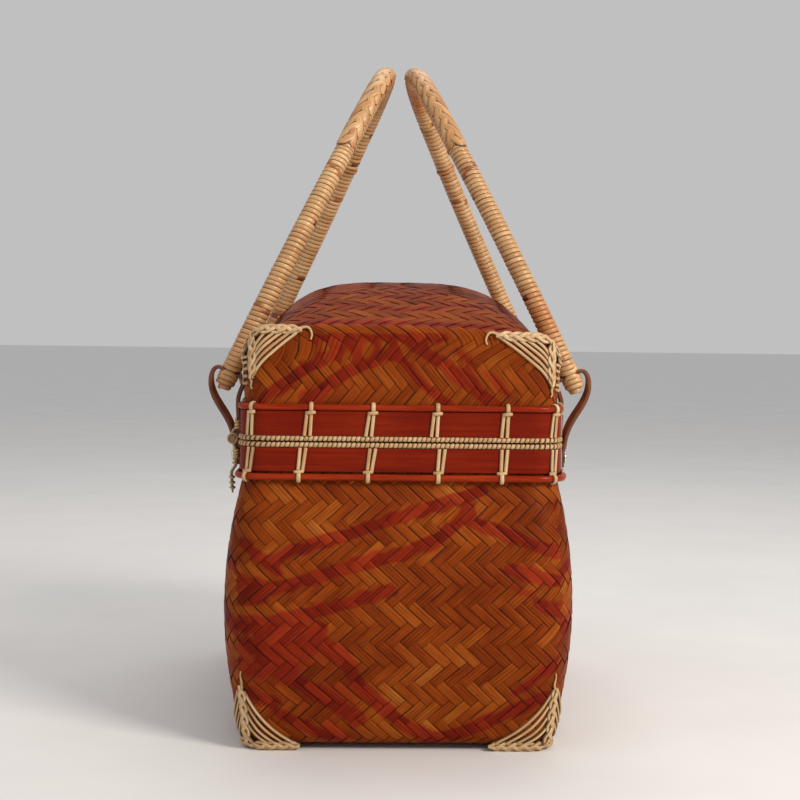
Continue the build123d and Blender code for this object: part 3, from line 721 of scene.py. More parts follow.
def build_weave(kind, lattice):
    """Returns the strips of the two families as Strands."""
    families = (Strands(), Strands())
    U, V, D = lattice.U, lattice.V, lattice.depth
    over_height, float_rise, thick = 0.36, 0.16, 0.5
    lift = -0.62
    phase = 4 if kind == "body" else 1
    frac = 1 / 3
    for fam in (0, 1):
        # fam 0: p + q constant; fam 1: p - q constant
        total = U + V + D
        for c in range(-total, total + 1):
            if c % 2 == 0:
                continue
            tone = RNG.uniform(0, 1)
            width = RNG.uniform(0.91, 0.985)
            nudge = RNG.uniform(-0.025, 0.025)
            p0 = np.arange(-(U + D), U + D + 1)
            q0 = (c - p0) if fam == 0 else (p0 - c)
            inside = ((np.abs(p0) <= U) & (np.abs(q0) <= V + D)) | ((np.abs(q0) <= V) & (np.abs(p0) <= U + D))
            if not inside.any():
                continue
            side0, m0, end0 = lattice.side_of(p0.astype(float), q0.astype(float))
            level = np.round(-m0).astype(int)
            state = ((level + phase) % 6) < 3
            if kind == "lid":
                mine = end0 if fam == 0 else ~end0
            else:
                mine = ~end0 if fam == 0 else end0
            over = np.where(mine, state, ~state)
            h = np.where(over, over_height, -over_height)
            prev = np.roll(over, 1) == over
            nxt = np.roll(over, -1) == over
            h = h + np.where(over, 1, -1) * float_rise * np.where(prev & nxt, 1.0, 0.3)
            # three samples a crossing
            ps = (p0[:, None] + np.array([-frac, 0, frac])[None, :]).ravel()
            qs = (c - ps) if fam == 0 else (ps - c)
            hs = np.stack([np.where(prev, h, h * 0.72), h, np.where(nxt, h, h * 0.72)], 1).ravel()
            keep = np.repeat(inside, 3)
            ok = ((np.abs(ps) <= U + 1e-6) & (np.abs(qs) <= V + D)) | ((np.abs(qs) <= V + 1e-6) & (np.abs(ps) <= U + D))
            keep &= ok
            side = np.repeat(side0, 3)
            runs = []
            start = None
            for i in range(len(ps) + 1):
                good = i < len(ps) and keep[i]
                if good and start is None:
                    start = i
                if start is not None and (not good or (i > start and side[i] != side[i - 1] and m_is_wall(lattice, ps[i - 1], qs[i - 1]) and m_is_wall(lattice, ps[i], qs[i]))):
                    if i - start > 2:
                        runs.append((start, i))
                    start = i if good else None
            for s, e in runs:
                p, q, sd, hh = ps[s:e], qs[s:e], side[s:e], hs[s:e]
                step = 0.5 * width
                nq = 1.0 if fam == 0 else -1.0
                P, N = lattice.at(p + nudge, q + nudge * nq, sd)
                L, _ = lattice.at(p + nudge - step, q + (nudge - step) * nq, sd)
                R, _ = lattice.at(p + nudge + step, q + (nudge + step) * nq, sd)
                z = P[:, 2]
                if kind == "body":
                    good = z < 148.5
                else:
                    good = z > 168.0
                idx = np.where(good)[0]
                if len(idx) < 3:
                    continue
                for part in np.split(idx, np.where(np.diff(idx) > 1)[0] + 1):
                    if len(part) < 3:
                        continue
                    a, b = part[0], part[-1] + 1
                    ribbon(families[fam], P[a:b], N[a:b], L[a:b], R[a:b], hh[a:b] + lift, thick, tone,
                           kind, sd[a:b], lattice, p[a:b], q[a:b])
    return families


def m_is_wall(lattice, p, q):
    return min(lattice.U - abs(p), lattice.V - abs(q)) < 0


def ribbon(acc, P, N, L, R, height, thick, tone, kind, side, lattice, p, q):
    n = len(P)
    up = N * (height + thick / 2)[:, None]
    down = N * (height - thick / 2)[:, None]
    V = np.stack([L + up, R + up, R + down, L + down], 1)
    idx = np.arange(n * 4).reshape(n, 4)
    a, b = idx[:-1], idx[1:]
    # outward faces whichever way the strip runs
    F = np.stack([a, b, np.roll(b, -1, 1), np.roll(a, -1, 1)], -1).reshape(-1, 4)
    T = P[1] - P[0]
    if np.dot(np.cross(T, R[0] - L[0]), N[0]) < 0:
        F = F[:, ::-1]
    s = np.concatenate([[0], np.cumsum(np.linalg.norm(np.diff(P, axis=0), axis=1))])
    m = np.minimum(lattice.U - np.abs(p), lattice.V - np.abs(q))
    left, right = dye_at(kind, L, side, m), dye_at(kind, R, side, m)
    d = np.stack([left, right, right, left], 1).ravel()
    acc.raw(V.reshape(-1, 3), F, np.repeat(s, 4), np.tile([-1.0, 1.0, 1.0, -1.0], n), tone, d)


def gap_shade_sheet(kind, lattice):
    """A dark sheet between the two layers of strip: painted shade that shows through the gaps of the weave."""
    acc = Strands()
    U, V, D = lattice.U, lattice.V, lattice.depth
    for side in range(4):
        half = U if side % 2 == 1 else V
        a = np.linspace(-half, half, 2 * half + 1)
        m = np.linspace(-D, 0, D + 1)
        A, M = np.meshgrid(a, m, indexing="ij")
        P, N = lattice.surface(side, A.ravel(), M.ravel())
        limit = 150.0 if kind == "body" else 166.0
        P = P - N * 0.62
        P[:, 2] = np.minimum(P[:, 2], limit) if kind == "body" else np.maximum(P[:, 2], limit)
        idx = np.arange(len(P)).reshape(A.shape)
        F = np.stack([idx[:-1, :-1], idx[1:, :-1], idx[1:, 1:], idx[:-1, 1:]], -1).reshape(-1, 4)
        acc.raw(P, F, 0.0, 0.0, 0.5, 0.0)
    p = np.linspace(-U, U, 2 * U + 1)
    q = np.linspace(-V, V, 2 * V + 1)
    A, M = np.meshgrid(p, q, indexing="ij")
    side, m, _ = lattice.side_of(A.ravel(), M.ravel())
    P, N = lattice.at(A.ravel(), M.ravel(), side)
    P = P - N * 0.62
    idx = np.arange(len(P)).reshape(A.shape)
    F = np.stack([idx[:-1, :-1], idx[1:, :-1], idx[1:, 1:], idx[:-1, 1:]], -1).reshape(-1, 4)
    acc.raw(P, F, 0.0, 0.0, 0.5, 0.0)
    return acc


body_lattice, lid_lattice = Weave("body"), Weave("lid")
for kind, lattice, node in (("body", body_lattice, "body_weave"), ("lid", lid_lattice, "lid_weave")):
    one, two = build_weave(kind, lattice)
    a = one.make(kind + "_strips_one", kind, "woven_bamboo", BAMBOO, (node,))
    b = two.make(kind + "_strips_two", kind, "woven_bamboo", BAMBOO)
    # painted shade: a dark sheet under the strips, seen as shade through the gaps
    gap_shade_sheet(kind, lattice).make(kind + "_weave_gap_shade", kind, "woven_bamboo", GAP_SHADE, sharp=180)
    print(kind, "strips", len(a.data.polygons) * 2, len(b.data.polygons) * 2)

# ------------------------------------------------------------ wound strands
def wound(acc, centre, n1, n2, half1, half2, pitch, sec, per_turn=12, power=1.0,
          tone=None, dye=0.0, jitter=0.0, start=0.0, shrink=None, part_at=()):
    """A strand wound round a line: its points and the two axes of its section
    are arrays along the line.  The turns part at the part_at lengths."""
    step = np.linalg.norm(np.diff(centre, axis=0), axis=1)
    s = np.concatenate([[0], np.cumsum(step)])
    turns = s[-1] / pitch
    m = max(8, int(round(turns * per_turn)))
    t = np.linspace(0, s[-1], m)
    phase = start + 2 * math.pi * (t / pitch)
    if jitter:
        phase = phase + jitter * noise1(m, per_turn * 1.5, RNG)
    place = t.copy()
    for at in part_at:
        # only where the strand crosses the opening on either side
        lateral = np.abs(half2 * np.sin(phase))
        w = np.clip((3.8 - lateral) / 1.0, 0, 1)
        w = w * w * (3 - 2 * w)
        d = t - at
        far = np.sign(d + 1e-6) * (np.abs(d) ** 2.6 + 2.05**2.6) ** (1 / 2.6)
        place = place + np.where(np.abs(d) < 14, w * (far - d) * np.clip((14 - np.abs(d)) / 8, 0, 1), 0)
    pick = lambda A: np.stack([np.interp(place, s, A[:, i]) for i in range(3)], 1)
    C, A, B = pick(centre), pick(n1), pick(n2)
    c, q = np.cos(phase), np.sin(phase)
    c = np.sign(c) * np.abs(c) ** power
    q = np.sign(q) * np.abs(q) ** power
    k = np.ones(m) if shrink is None else shrink(t, s[-1])
    off = (half1 * k * c)[:, None] * A + (half2 * k * q)[:, None] * B
    N = off / np.maximum(np.linalg.norm(off, axis=1, keepdims=True), 1e-9)
    if power < 1:
        a2 = np.sign(np.cos(phase)) * np.abs(np.cos(phase)) ** (2 - power) / half1
        b2 = np.sign(np.sin(phase)) * np.abs(np.sin(phase)) ** (2 - power) / half2
        N = a2[:, None] * A + b2[:, None] * B
        N = N / np.maximum(np.linalg.norm(N, axis=1, keepdims=True), 1e-9)
    P = C + off
    tv = 0.5 if tone is None else tone(t, phase)
    dv = dye(t, phase) if callable(dye) else dye
    acc.sweep(P, N, sec, tone=tv, dye=dv)


def loop_plan(half_w, corner, n):
    """Points and outward directions round the bag's plan."""
    hw, hl, c = half_w, half_w + LENGTHEN, corner
    pts, outs = [], []
    parts = [
        ("l", (hw, -(hl - c)), (hw, hl - c), (1, 0)),
        ("a", (hw - c, hl - c), 0.0),
        ("l", (hw - c, hl), (-(hw - c), hl), (0, 1)),
        ("a", (-(hw - c), hl - c), 90.0),
        ("l", (-hw, hl - c), (-hw, -(hl - c)), (-1, 0)),
        ("a", (-(hw - c), -(hl - c)), 180.0),
        ("l", (-(hw - c), -hl), (hw - c, -hl), (0, -1)),
        ("a", (hw - c, -(hl - c)), 270.0),
    ]
    for p in parts:
        if p[0] == "l":
            a, b = np.array(p[1]), np.array(p[2])
            k = max(2, int(np.linalg.norm(b - a) / 2))
            for t in np.arange(k) / k:
                pts.append(a + (b - a) * t)
                outs.append(np.array(p[3], float))
        else:
            for t in np.arange(12) / 12:
                g = math.radians(p[2] + 90 * t)
                d = np.array([math.cos(g), math.sin(g)])
                pts.append(np.array(p[1]) + c * d)
                outs.append(d)
    pts.append(pts[0])
    outs.append(outs[0])
    return np.array(pts), np.array(outs)


def rim(name, body, node, z):
    pts, outs = loop_plan(79.75, 12.25, 0)
    P3 = np.column_stack([pts, np.full(len(pts), z)])
    O3 = np.column_stack([outs, np.zeros(len(outs))])
    Z3 = np.tile([0.0, 0.0, 1.0], (len(pts), 1))
    acc = Strands()
    wound(
        acc, P3, O3, Z3, 2.66, 1.02, 2.36, low_section(2.05, 0.55, 0.12), per_turn=10, power=0.6,
        tone=lambda t, ph: 0.62 + 0.3 * noise1(len(t), 11, RNG) + 0.1 * noise1(len(t), 60, RNG),
        dye=lambda t, ph: np.clip(0.35 * noise1(len(t), 40, RNG), 0, 0.6), jitter=0.25,
    )
    acc.make(name, body, "rattan", RATTAN, (node,), sharp=60)


rim("body_rim_lashing", "body", "body_rim_coil", 155.7)
rim("lid_rim_lashing", "lid", "lid_rim_coil", 158.9)

# ------------------------------------------------------------------- ties
END_TIES_BODY = (-50.0, -15.2, 19.9, 51.6)
END_TIES_LID = (-46.8, -15.8, 16.8, 52.0)
CORNER_TIES = ((-1, 35.0), (1, 40.0))
SIDE_TIES_RIGHT = (-106.0, -71.0, -35.5, 0.0, 35.5, 71.0, 106.0)
SIDE_TIES_LEFT = (-71.0, -35.5, 0.0, 35.5, 71.0)


def tie_frames(end_ties):
    """Origin, outward and sideways directions; the side is to the right when
    one looks at the wall."""
    out = []
    for x in end_ties:
        out.append(((x, -LENGTHEN), (0, -1), (1, 0)))
        out.append(((-x, LENGTHEN), (0, 1), (-1, 0)))
    for side, degrees in CORNER_TIES:
        g = math.radians(degrees)
        for e in (-1, 1):
            s = -side * e
            d = (s * math.sin(g), e * math.cos(g))
            o = (s * 67.5 - d[0] * 67.5, e * 111.5 - d[1] * 67.5)
            out.append((o, d, (-d[1], d[0])))
    for y in SIDE_TIES_RIGHT:
        out.append(((0, y), (1, 0), (0, 1)))
    for y in SIDE_TIES_LEFT:
        out.append(((0, y), (-1, 0), (0, -1)))
    return out


def make_ties(name, body, node, ends, band_out, z_rim, rod_x, rod_z, rod_r, up):
    acc = Strands()
    z_knot = rod_z - up * (rod_r + 1.0)
    for o, d, side in tie_frames(ends):
        O, D, S = np.array([*o, 0.0]), np.array([*d, 0.0]), np.array([*side, 0.0])
        slant = up * 1.3 + RNG.uniform(-0.7, 0.7)
        for k in (-1, 1):
            zs = np.linspace(z_rim, z_knot + up * 0.4, 9)
            u = np.linspace(0, 1, 9)
            r = band_out + 0.5 + 0.25 * np.sin(u * math.pi) * RNG.uniform(0.2, 1.0) + 0.5 * u**6
            lat = k * (1.42 - 0.34 * u) + slant * (u - 0.5)
            P = O + r[:, None] * D + lat[:, None] * S + zs[:, None] * np.array([0, 0, 1.0])
            acc.sweep(P, D, low_section(1.9, 0.85, 0.18), tone=RNG.uniform(0.45, 0.95), dye=RNG.uniform(-0.2, 0.4))
        # the turn across the two strands
        lat = np.linspace(-2.1, 2.1, 9)
        r = band_out + 1.75 - 0.042 * np.abs(lat) ** 4.2
        P = O + r[:, None] * D + (lat + slant * 0.5 + up * 0.7)[:, None] * S + (z_knot + 0.08 * lat)[:, None] * np.array([0, 0, 1.0])
        acc.sweep(P, D, low_section(1.9, 0.9, 0.2), tone=RNG.uniform(0.4, 0.9))
        # and the strand that goes over the rod
        g = np.linspace(-62, 112, 11) * math.pi / 180
        rr = rod_r + 0.62
        P = (
            O
            + (rod_x + rr * np.cos(g))[:, None] * D
            + (slant * 0.5 + up * 0.8 + RNG.uniform(-0.2, 0.2)) * S
            + (rod_z + up * rr * np.sin(g))[:, None] * np.array([0, 0, 1.0])
        )
        N = np.cos(g)[:, None] * D + (up * np.sin(g))[:, None] * np.array([0, 0, 1.0])
        acc.sweep(P, N, low_section(2.3, 0.9, 0.2), tone=RNG.uniform(0.5, 0.95))
    acc.make(name, body, "rattan", RATTAN, (node,), sharp=60)


make_ties("body_ties", "body", "body_band_ties", END_TIES_BODY, 82.0, 154.3, 82.85, 139.6, 1.7, -1)
make_ties("lid_ties", "lid", "lid_band_ties", END_TIES_LID, 81.8, 160.3, 81.5, 174.6, 1.6, 1)


# ------------------------------------------------------------ corner guards
def braid(acc, C, N, pitch, spread, rise, w, t, tones=(0.5, 0.9), strands=3, taper=True):
    """Three flat strands plaited along the line C, which has even steps."""
    T = np.gradient(C, axis=0)
    T = T / np.linalg.norm(T, axis=1, keepdims=True)
    B = np.cross(T, N)
    B = B / np.linalg.norm(B, axis=1, keepdims=True)
    s = np.concatenate([[0], np.cumsum(np.linalg.norm(np.diff(C, axis=0), axis=1))])
    env = np.ones(len(C))
    if taper:
        env = np.clip(np.minimum(s, s[-1] - s) / 4.0, 0.35, 1)
    for k in range(strands):
        ph = 2 * math.pi * (s / pitch + k / strands)
        P = C + (spread * env * np.sin(ph))[:, None] * B + (rise * np.cos(2 * ph + 0.4))[:, None] * N
        acc.sweep(P, N, low_section(w, t, 0.2), tone=RNG.uniform(*tones), dye=RNG.uniform(-0.2, 0.35), scale=0.75 + 0.25 * env)


def skin(kind, end_side, sx, sy, t, h):
    """The outside near a corner, t mm along the perimeter from the ridge of
    the corner.  On the body h is the height; on the lid it is how far below
    the top edge, or on to the top where it is below 0."""
    t, h = np.broadcast_arrays(np.asarray(t, float), np.asarray(h, float))
    if kind == "body":
        w, r = body_at(np.maximum(h, 3.0))
        Z = np.maximum(h, 0.0)
    else:
        m = np.maximum(-h, 0.0)
        w, r = LID_W - m, np.maximum(LID_R - m, 0.5)
    # across stands for the axis the wall faces along
    face, run = (w + LENGTHEN, w) if end_side else (w, w + LENGTHEN)
    straight = run - r
    arc = math.pi / 4 * r
    phi = np.clip((arc - t) / r, 0, math.pi / 4)
    along = np.where(t < arc, straight + r * np.sin(phi), straight - (t - arc))
    out = face - r + r * np.cos(phi)
    X, Y = (sx * along, sy * out) if end_side else (sx * out, sy * along)
    if kind == "lid":
        Z = lid_height(X, Y) - np.maximum(h, 0.0)
    return np.stack([X, Y, Z], -1)


def corner_line(kind, end_side, sx, sy, pts, lift, step=0.8):
    """A smooth line on the skin through points (t, h), with its normals."""
    c = catmull(pts, 8)
    soft = ((-1.6, 0.2), (-0.8, 0.2), (0.0, 0.2), (0.8, 0.2), (1.6, 0.2))

    def at(t, h):
        if kind == "body":
            return skin(kind, end_side, sx, sy, t, h)
        return sum(w * skin(kind, end_side, sx, sy, t, h + d) for d, w in soft)

    t, h = c[:, 0], c[:, 1]
    P = at(t, h)
    dt = at(t + 0.3, h) - at(np.maximum(t - 0.3, 0), h)
    dh = at(t, h + 0.3) - at(t, h - 0.3)
    N = np.cross(dt, dh)
    N = N / np.maximum(np.linalg.norm(N, axis=1, keepdims=True), 1e-9)
    ref = P - np.array([0, 0, 60.0 if kind == "body" else 185.0])
    ref = ref / np.array([1, 1, 3.0 if kind == "body" else 1.0])
    N = N * np.where((N * ref).sum(1, keepdims=True) < 0, -1.0, 1.0)
    P = P + N * lift
    d = np.concatenate([[0], np.cumsum(np.linalg.norm(np.diff(P, axis=0), axis=1))])
    n = max(4, int(d[-1] / step))
    u = np.linspace(0, d[-1], n)
    P = np.stack([np.interp(u, d, P[:, i]) for i in range(3)], 1)
    N = np.stack([np.interp(u, d, N[:, i]) for i in range(3)], 1)
    return P, N / np.linalg.norm(N, axis=1, keepdims=True)


def fan(acc, kind, sx, sy, ends, lift, w, grow):
    """Strands that run from the upright plait to the other plait."""
    for end_side in (True, False):
        for (t0, h0), (t1, h1) in ends:
            j = RNG.uniform(-0.5, 0.5, 2)
            h0 = h0 + j[0]
            t1 = t1 * grow + j[1] - (0.0 if end_side else 0.8)
            pts = [(t0, h0)]
            for f in (0.25, 0.5, 0.75):
                bow = (0.09 if kind == "body" else 0.03) * 4 * f * (1 - f)
                pts.append((t0 + (t1 - t0) * (f - bow * 0.55), h1 + (h0 - h1) * (1 - f - bow * 0.75)))
            pts.append((t1, h1))
            P, N = corner_line(kind, end_side, sx, sy, pts, lift + RNG.uniform(-0.05, 0.15))
            acc.sweep(P, N, low_section(w, 1.05, 0.22), tone=RNG.uniform(0.4, 0.95), dye=RNG.uniform(-0.2, 0.3))


def guard(kind, end, side_name):
    sy = 1 if end == "rear" else -1
    sx = 1 if side_name == "right" else -1
    grow = 1.0 if sx > 0 else 0.88
    acc = Strands()
    if kind == "body":
        for end_side in (True, False):
            reach = 30.0 * grow if end_side else 28.0
            c = catmull([(-0.6, 0), (7, 0), (14, 0), (21, 0), (reach, 0)], 8)
            P = skin("body", end_side, sx, sy, np.maximum(c[:, 0], 0.0), np.full(len(c), 4.2))
            N = np.zeros_like(P)
            w0, r0 = body_at(4.2)
            N[:, 1 if end_side else 0] = sy if end_side else sx
            k = np.clip(1 - c[:, 0] / (math.pi / 4 * r0), 0, 1)
            N[:, 0 if end_side else 1] = (sx if end_side else sy) * k
            N = N / np.linalg.norm(N, axis=1, keepdims=True)
            P = P + 0.9 * N
            P[:, 2] = 2.75
            N = N + np.array([0, 0, -0.35])
            P = resample(P, 0.6)
            N = np.stack([np.interp(np.linspace(0, 1, len(P)), np.linspace(0, 1, len(N)), N[:, i]) for i in range(3)], 1)
            N = N / np.linalg.norm(N, axis=1, keepdims=True)
            braid(acc, P, N, 17.5, 1.5, 0.6, 2.3, 1.15)
        fan(
            acc, kind, sx, sy,
            [((2.2, 31.0), (26.5, 5.2)), ((2.2, 25.5), (21.5, 5.0)), ((2.2, 20.0), (16.5, 4.8)), ((2.2, 14.5), (12.0, 4.6))],
            0.55, 1.5, grow,
        )
        P, N = corner_line(kind, True, sx, sy, [(1.2, 3.0), (1.2, 8.0), (1.2, 14.0), (1.2, 20.0), (1.1, 27.0), (0.9, 33.5)], 1.6, 0.6)
        braid(acc, P, N, 18.5, 1.7, 0.65, 2.45, 1.15, tones=(0.6, 0.98))
        P, N = corner_line(kind, True, sx, sy, [(0.4, 32.0), (1.4, 35.0), (0.9, 38.5), (1.6, 41.0)], 0.6)
        acc.sweep(P, N, low_section(1.7, 0.8, 0.15), tone=0.6, scale=np.linspace(1, 0.45, len(P)))
        low = min(v[:, 2].min() for v in acc.v)
        for v in acc.v:
            # the lowest strands stand on the table
            v[:, 2] -= low * np.clip(1 - v[:, 2] / 9.0, 0, 1)
            v[:, 2] = np.maximum(v[:, 2], 0.0)
        body, name = "body", "base_guard_%s_%s" % (end, side_name)
    else:
        for end_side in (True, False):
            reach = 30.0 * grow if end_side else 26.0
            P, N = corner_line(kind, end_side, sx, sy, [(0.2, 0.6), (8, 0.9), (16, 1.3), (22, 1.6), (reach, 1.6)], 0.9, 0.6)
            braid(acc, P, N, 16.5, 1.55, 0.6, 2.35, 1.1, tones=(0.6, 0.98))
        fan(
            acc, kind, sx, sy,
            [((2.0, 21.5), (27.0, 3.2)), ((2.0, 18.2), (22.8, 3.0)), ((2.0, 14.9), (18.6, 2.8)), ((2.0, 11.6), (14.4, 2.6)), ((2.0, 8.4), (10.2, 2.4))],
            0.55, 1.65, grow,
        )
        P, N = corner_line(kind, True, sx, sy, [(1.3, 0.4), (1.5, 6.0), (1.5, 12.0), (1.5, 17.0), (1.2, 22.5)], 1.4, 0.6)
        braid(acc, P, N, 16.5, 1.65, 0.6, 2.4, 1.1, tones=(0.6, 0.98))
        P, N = corner_line(kind, True, sx, sy, [(0.3, 21.8), (0.9, 24.2), (0.5, 26.2), (1.5, 28.0)], 0.6)
        acc.sweep(P, N, low_section(1.8, 0.8, 0.15), tone=0.7, scale=np.linspace(1, 0.5, len(P)))
        # the curled tail at the end of the upper plait
        r = 30.0 * grow
        P, N = corner_line(kind, True, sx, sy, [(r - 1.5, 1.5), (r + 1.5, 0.4), (r + 4.0, 1.2), (r + 5.2, 4.0), (r + 4.6, 6.6)], 0.6)
        acc.sweep(P, N, low_section(1.6, 0.85, 0.15), tone=0.7, scale=np.linspace(1, 0.6, len(P)))
        body, name = "lid", "lid_guard_%s_%s" % (end, side_name)
    acc.make(name + "_strands", body, "rattan", RATTAN, (name,), sharp=60)


for end in ("front", "rear"):
    for side_name in ("left", "right"):
        guard("body", end, side_name)
        guard("lid", end, side_name)

# ---------------------------------------------------------------- handles
FOOT_X, FOOT_Z, TOP_X, TOP_Z = 93.0, 182.5, 8.2, 358.0
HALF_SPAN, TOP_R = 90.0, 45.0
SLOT_Z = 190.8
LEAN = math.atan2(FOOT_X - TOP_X, TOP_Z - FOOT_Z)
RISE = math.hypot(FOOT_X - TOP_X, TOP_Z - FOOT_Z)
_c = RISE - TOP_R
LEG_R = (HALF_SPAN**2 + _c**2 - TOP_R**2) / (2 * (HALF_SPAN - TOP_R))
_d = math.hypot(LEG_R - HALF_SPAN, _c)
LEG_TURN = math.asin(_c / _d)


def arch(side, n=700):
    """Centre line, outward in-plane direction and the plane's normal."""
    leg, top = LEG_R * LEG_TURN, TOP_R * (math.pi - 2 * LEG_TURN)
    s = np.linspace(0, 2 * leg + top, n)
    u, v, du, dv = (np.zeros(n) for _ in range(4))
    a = s <= leg
    th = math.pi - s / LEG_R
    u = np.where(a, (LEG_R - HALF_SPAN) + LEG_R * np.cos(th), u)
    v = np.where(a, LEG_R * np.sin(th), v)
    b = (s > leg) & (s < leg + top)
    t2 = math.pi - LEG_TURN - (s - leg) / TOP_R
    u = np.where(b, TOP_R * np.cos(t2), u)
    v = np.where(b, RISE - TOP_R + TOP_R * np.sin(t2), v)
    c = s >= leg + top
    t3 = LEG_TURN - (s - leg - top) / LEG_R
    u = np.where(c, -(LEG_R - HALF_SPAN) + LEG_R * np.cos(t3), u)
    v = np.where(c, LEG_R * np.sin(t3), v)
    ang = np.where(a, th, np.where(b, t2, t3))
    C = np.stack([side * (FOOT_X - v * math.sin(LEAN)), u, FOOT_Z + v * math.cos(LEAN)], 1)
    out = np.stack([-side * np.sin(ang) * math.sin(LEAN), np.cos(ang), np.sin(ang) * math.cos(LEAN)], 1)
    normal = np.tile([side * math.cos(LEAN), 0.0, math.sin(LEAN)], (n, 1))
    return s, C, out, normal


def handle(side_name, side):
    s, C, out, normal = arch(side)
    total = s[-1]
    body = "handle_" + side_name
    acc = Strands()
    slot = LEG_R * math.asin((SLOT_Z - FOOT_Z) / math.cos(LEAN) / LEG_R)

    def shrink(t, length):
        e = np.minimum(t, length - t)
        return np.where(e < 5.0, np.sqrt(np.clip(1 - ((5.0 - e) / 5.0) ** 2, 0, 1)) * 0.75 + 0.25, 1.0)

    def tone(t, ph):
        turn = np.floor(ph / (2 * math.pi))
        per = RNG.uniform(0.35, 1.0, int(turn.max() - turn.min()) + 3)
        return 0.65 * per[(turn - turn.min()).astype(int)] + 0.35 * (0.55 + 0.4 * noise1(len(t), 160, RNG))

    def dye(t, ph):
        z = noise1(len(t), 260, RNG)
        d = np.clip(0.9 * z + 0.12 * noise1(len(t), 18, RNG), -0.4, 0.8)
        for _ in range(9):
            at = RNG.uniform(0.03, 0.97) * total
            ph0 = RNG.uniform(0, 2 * math.pi)
            near = (np.abs(t - at) < 1.4) & (np.cos(ph - ph0) > 0.55)
            d = np.where(near, 1.0, d)
        for at in (0.10, 0.29, 0.72, 0.9):
            near = np.abs(t - at * total - 2.0 * np.cos(ph)) < 1.3
            d = np.where(near & (RNG.uniform() < 0.8), 0.93, d)
        return d

    wound(
        acc, C, normal, out, 4.78, 4.78, 2.6, low_section(2.52, 0.8, 0.12), per_turn=14,
        tone=tone, dye=dye, jitter=0.35, shrink=shrink, part_at=(slot, total - slot),
    )
    # the ends of the rod, closed by the last turns
    for i, k in ((0, 1), (-1, -1)):
        d = C[i + k * 4] - C[i]
        d = d / np.linalg.norm(d)
        cap = C[i] + d * np.array([0.15, 0.35, 1.2, 3.0])[:, None]
        acc.sweep(cap, normal[0], round_section(1.0, 14), tone=0.3, dye=0.2, scale=np.array([0.6, 1.7, 2.9, 4.1]))
    acc.make("handle_%s_wrap" % side_name, body, "rattan", HANDLE_RATTAN, ("handle_wrap_" + side_name,), sharp=60)

    # the plait over the grip: leaves that fall to both sides of a spine
    acc = Strands()
    start = LEG_R * math.asin(146.0 / LEG_R)
    spine = math.radians(88.0)
    pitch = 7.9
    count = int((total - 2 * start - 6.0) / pitch)
    pitch = (total - 2 * start - 6.0) / count
    for i in range(count + 1):
        for k in (-1, 1):
            m = 13
            f = np.linspace(0, 1, m)
            reach = math.radians(44.0 if k > 0 else 84.0)
            th = spine + k * (reach * f - math.radians(10.0) * (1 - f))
            fall = 10.5 if k > 0 else 14.5
            along = start + 3.0 + i * pitch + (pitch / 2 if k > 0 else 0) - fall * f
            along = np.clip(along, start - 2.0, total - start + 2.0)
            near_end = np.clip(1 - np.minimum(along - start + 2.0, total - start + 2.0 - along) / 9.0, 0, 1)
            r = 6.12 - 0.55 * f**1.5 + 0.28 * np.clip(1 - f * 6, 0, 1) - 0.3 * near_end
            Ci = np.stack([np.interp(along, s, C[:, q]) for q in range(3)], 1)
            Oi = np.stack([np.interp(along, s, out[:, q]) for q in range(3)], 1)
            D = np.cos(th)[:, None] * normal[:m] + np.sin(th)[:, None] * Oi
            acc.sweep(
                Ci + D * r[:, None], D, low_section(4.7, 0.95, 0.3),
                tone=RNG.uniform(0.3, 1.0), dye=RNG.uniform(-0.3, 0.45), scale=np.interp(f, [0, 0.12, 0.7, 1], [0.55, 1, 1, 0.42]),
            )
    # turns that bind its two ends
    for at in (start - 1.2, total - start + 1.2):
        g = np.linspace(0, 2 * math.pi, 29)[:-1]
        Ci = np.array([np.interp(at, s, C[:, q]) for q in range(3)])
        Oi = np.array([np.interp(at, s, out[:, q]) for q in range(3)])
        D = np.cos(g)[:, None] * normal[0] + np.sin(g)[:, None] * Oi
        acc.sweep(Ci + D * 5.4, D, low_section(2.3, 0.7, 0.15), closed=True, tone=0.35, dye=0.6)
    acc.make("handle_%s_plait" % side_name, body, "rattan", HANDLE_RATTAN, ("handle_plait_" + side_name,), sharp=60)


handle("left", -1)
handle("right", 1)

# ----------------------------------------------------------------- straps
_sx = FOOT_X - (SLOT_Z - FOOT_Z) * math.tan(LEAN)
_nx, _nz = math.cos(LEAN), math.sin(LEAN)
STRAP_LINE = [
    (83.27, 142.6), (83.27, 146.0), (83.3, 150.0), (84.0, 153.4), (84.3, 157.0),
    (84.35, 161.0), (84.5, 167.0), (84.75, 172.5), (84.7, 177.0), (83.6, 181.0),
    (82.3, 184.3), (82.2, 186.6), (83.1, 188.0),
    (_sx - 5.0 * _nx, SLOT_Z - 5.0 * _nz), (_sx, SLOT_Z), (_sx + 5.0 * _nx, SLOT_Z + 5.0 * _nz),
    (95.1, 193.5), (97.0, 192.7), (98.5, 190.2), (98.9, 186.8), (98.4, 182.6),
    (96.7, 178.0), (94.2, 173.6), (91.4, 169.2), (89.1, 165.0), (87.5, 160.8),
    (86.6, 156.6), (86.3, 153.4), (85.5, 150.0), (85.47, 146.0), (85.47, 142.6),
]
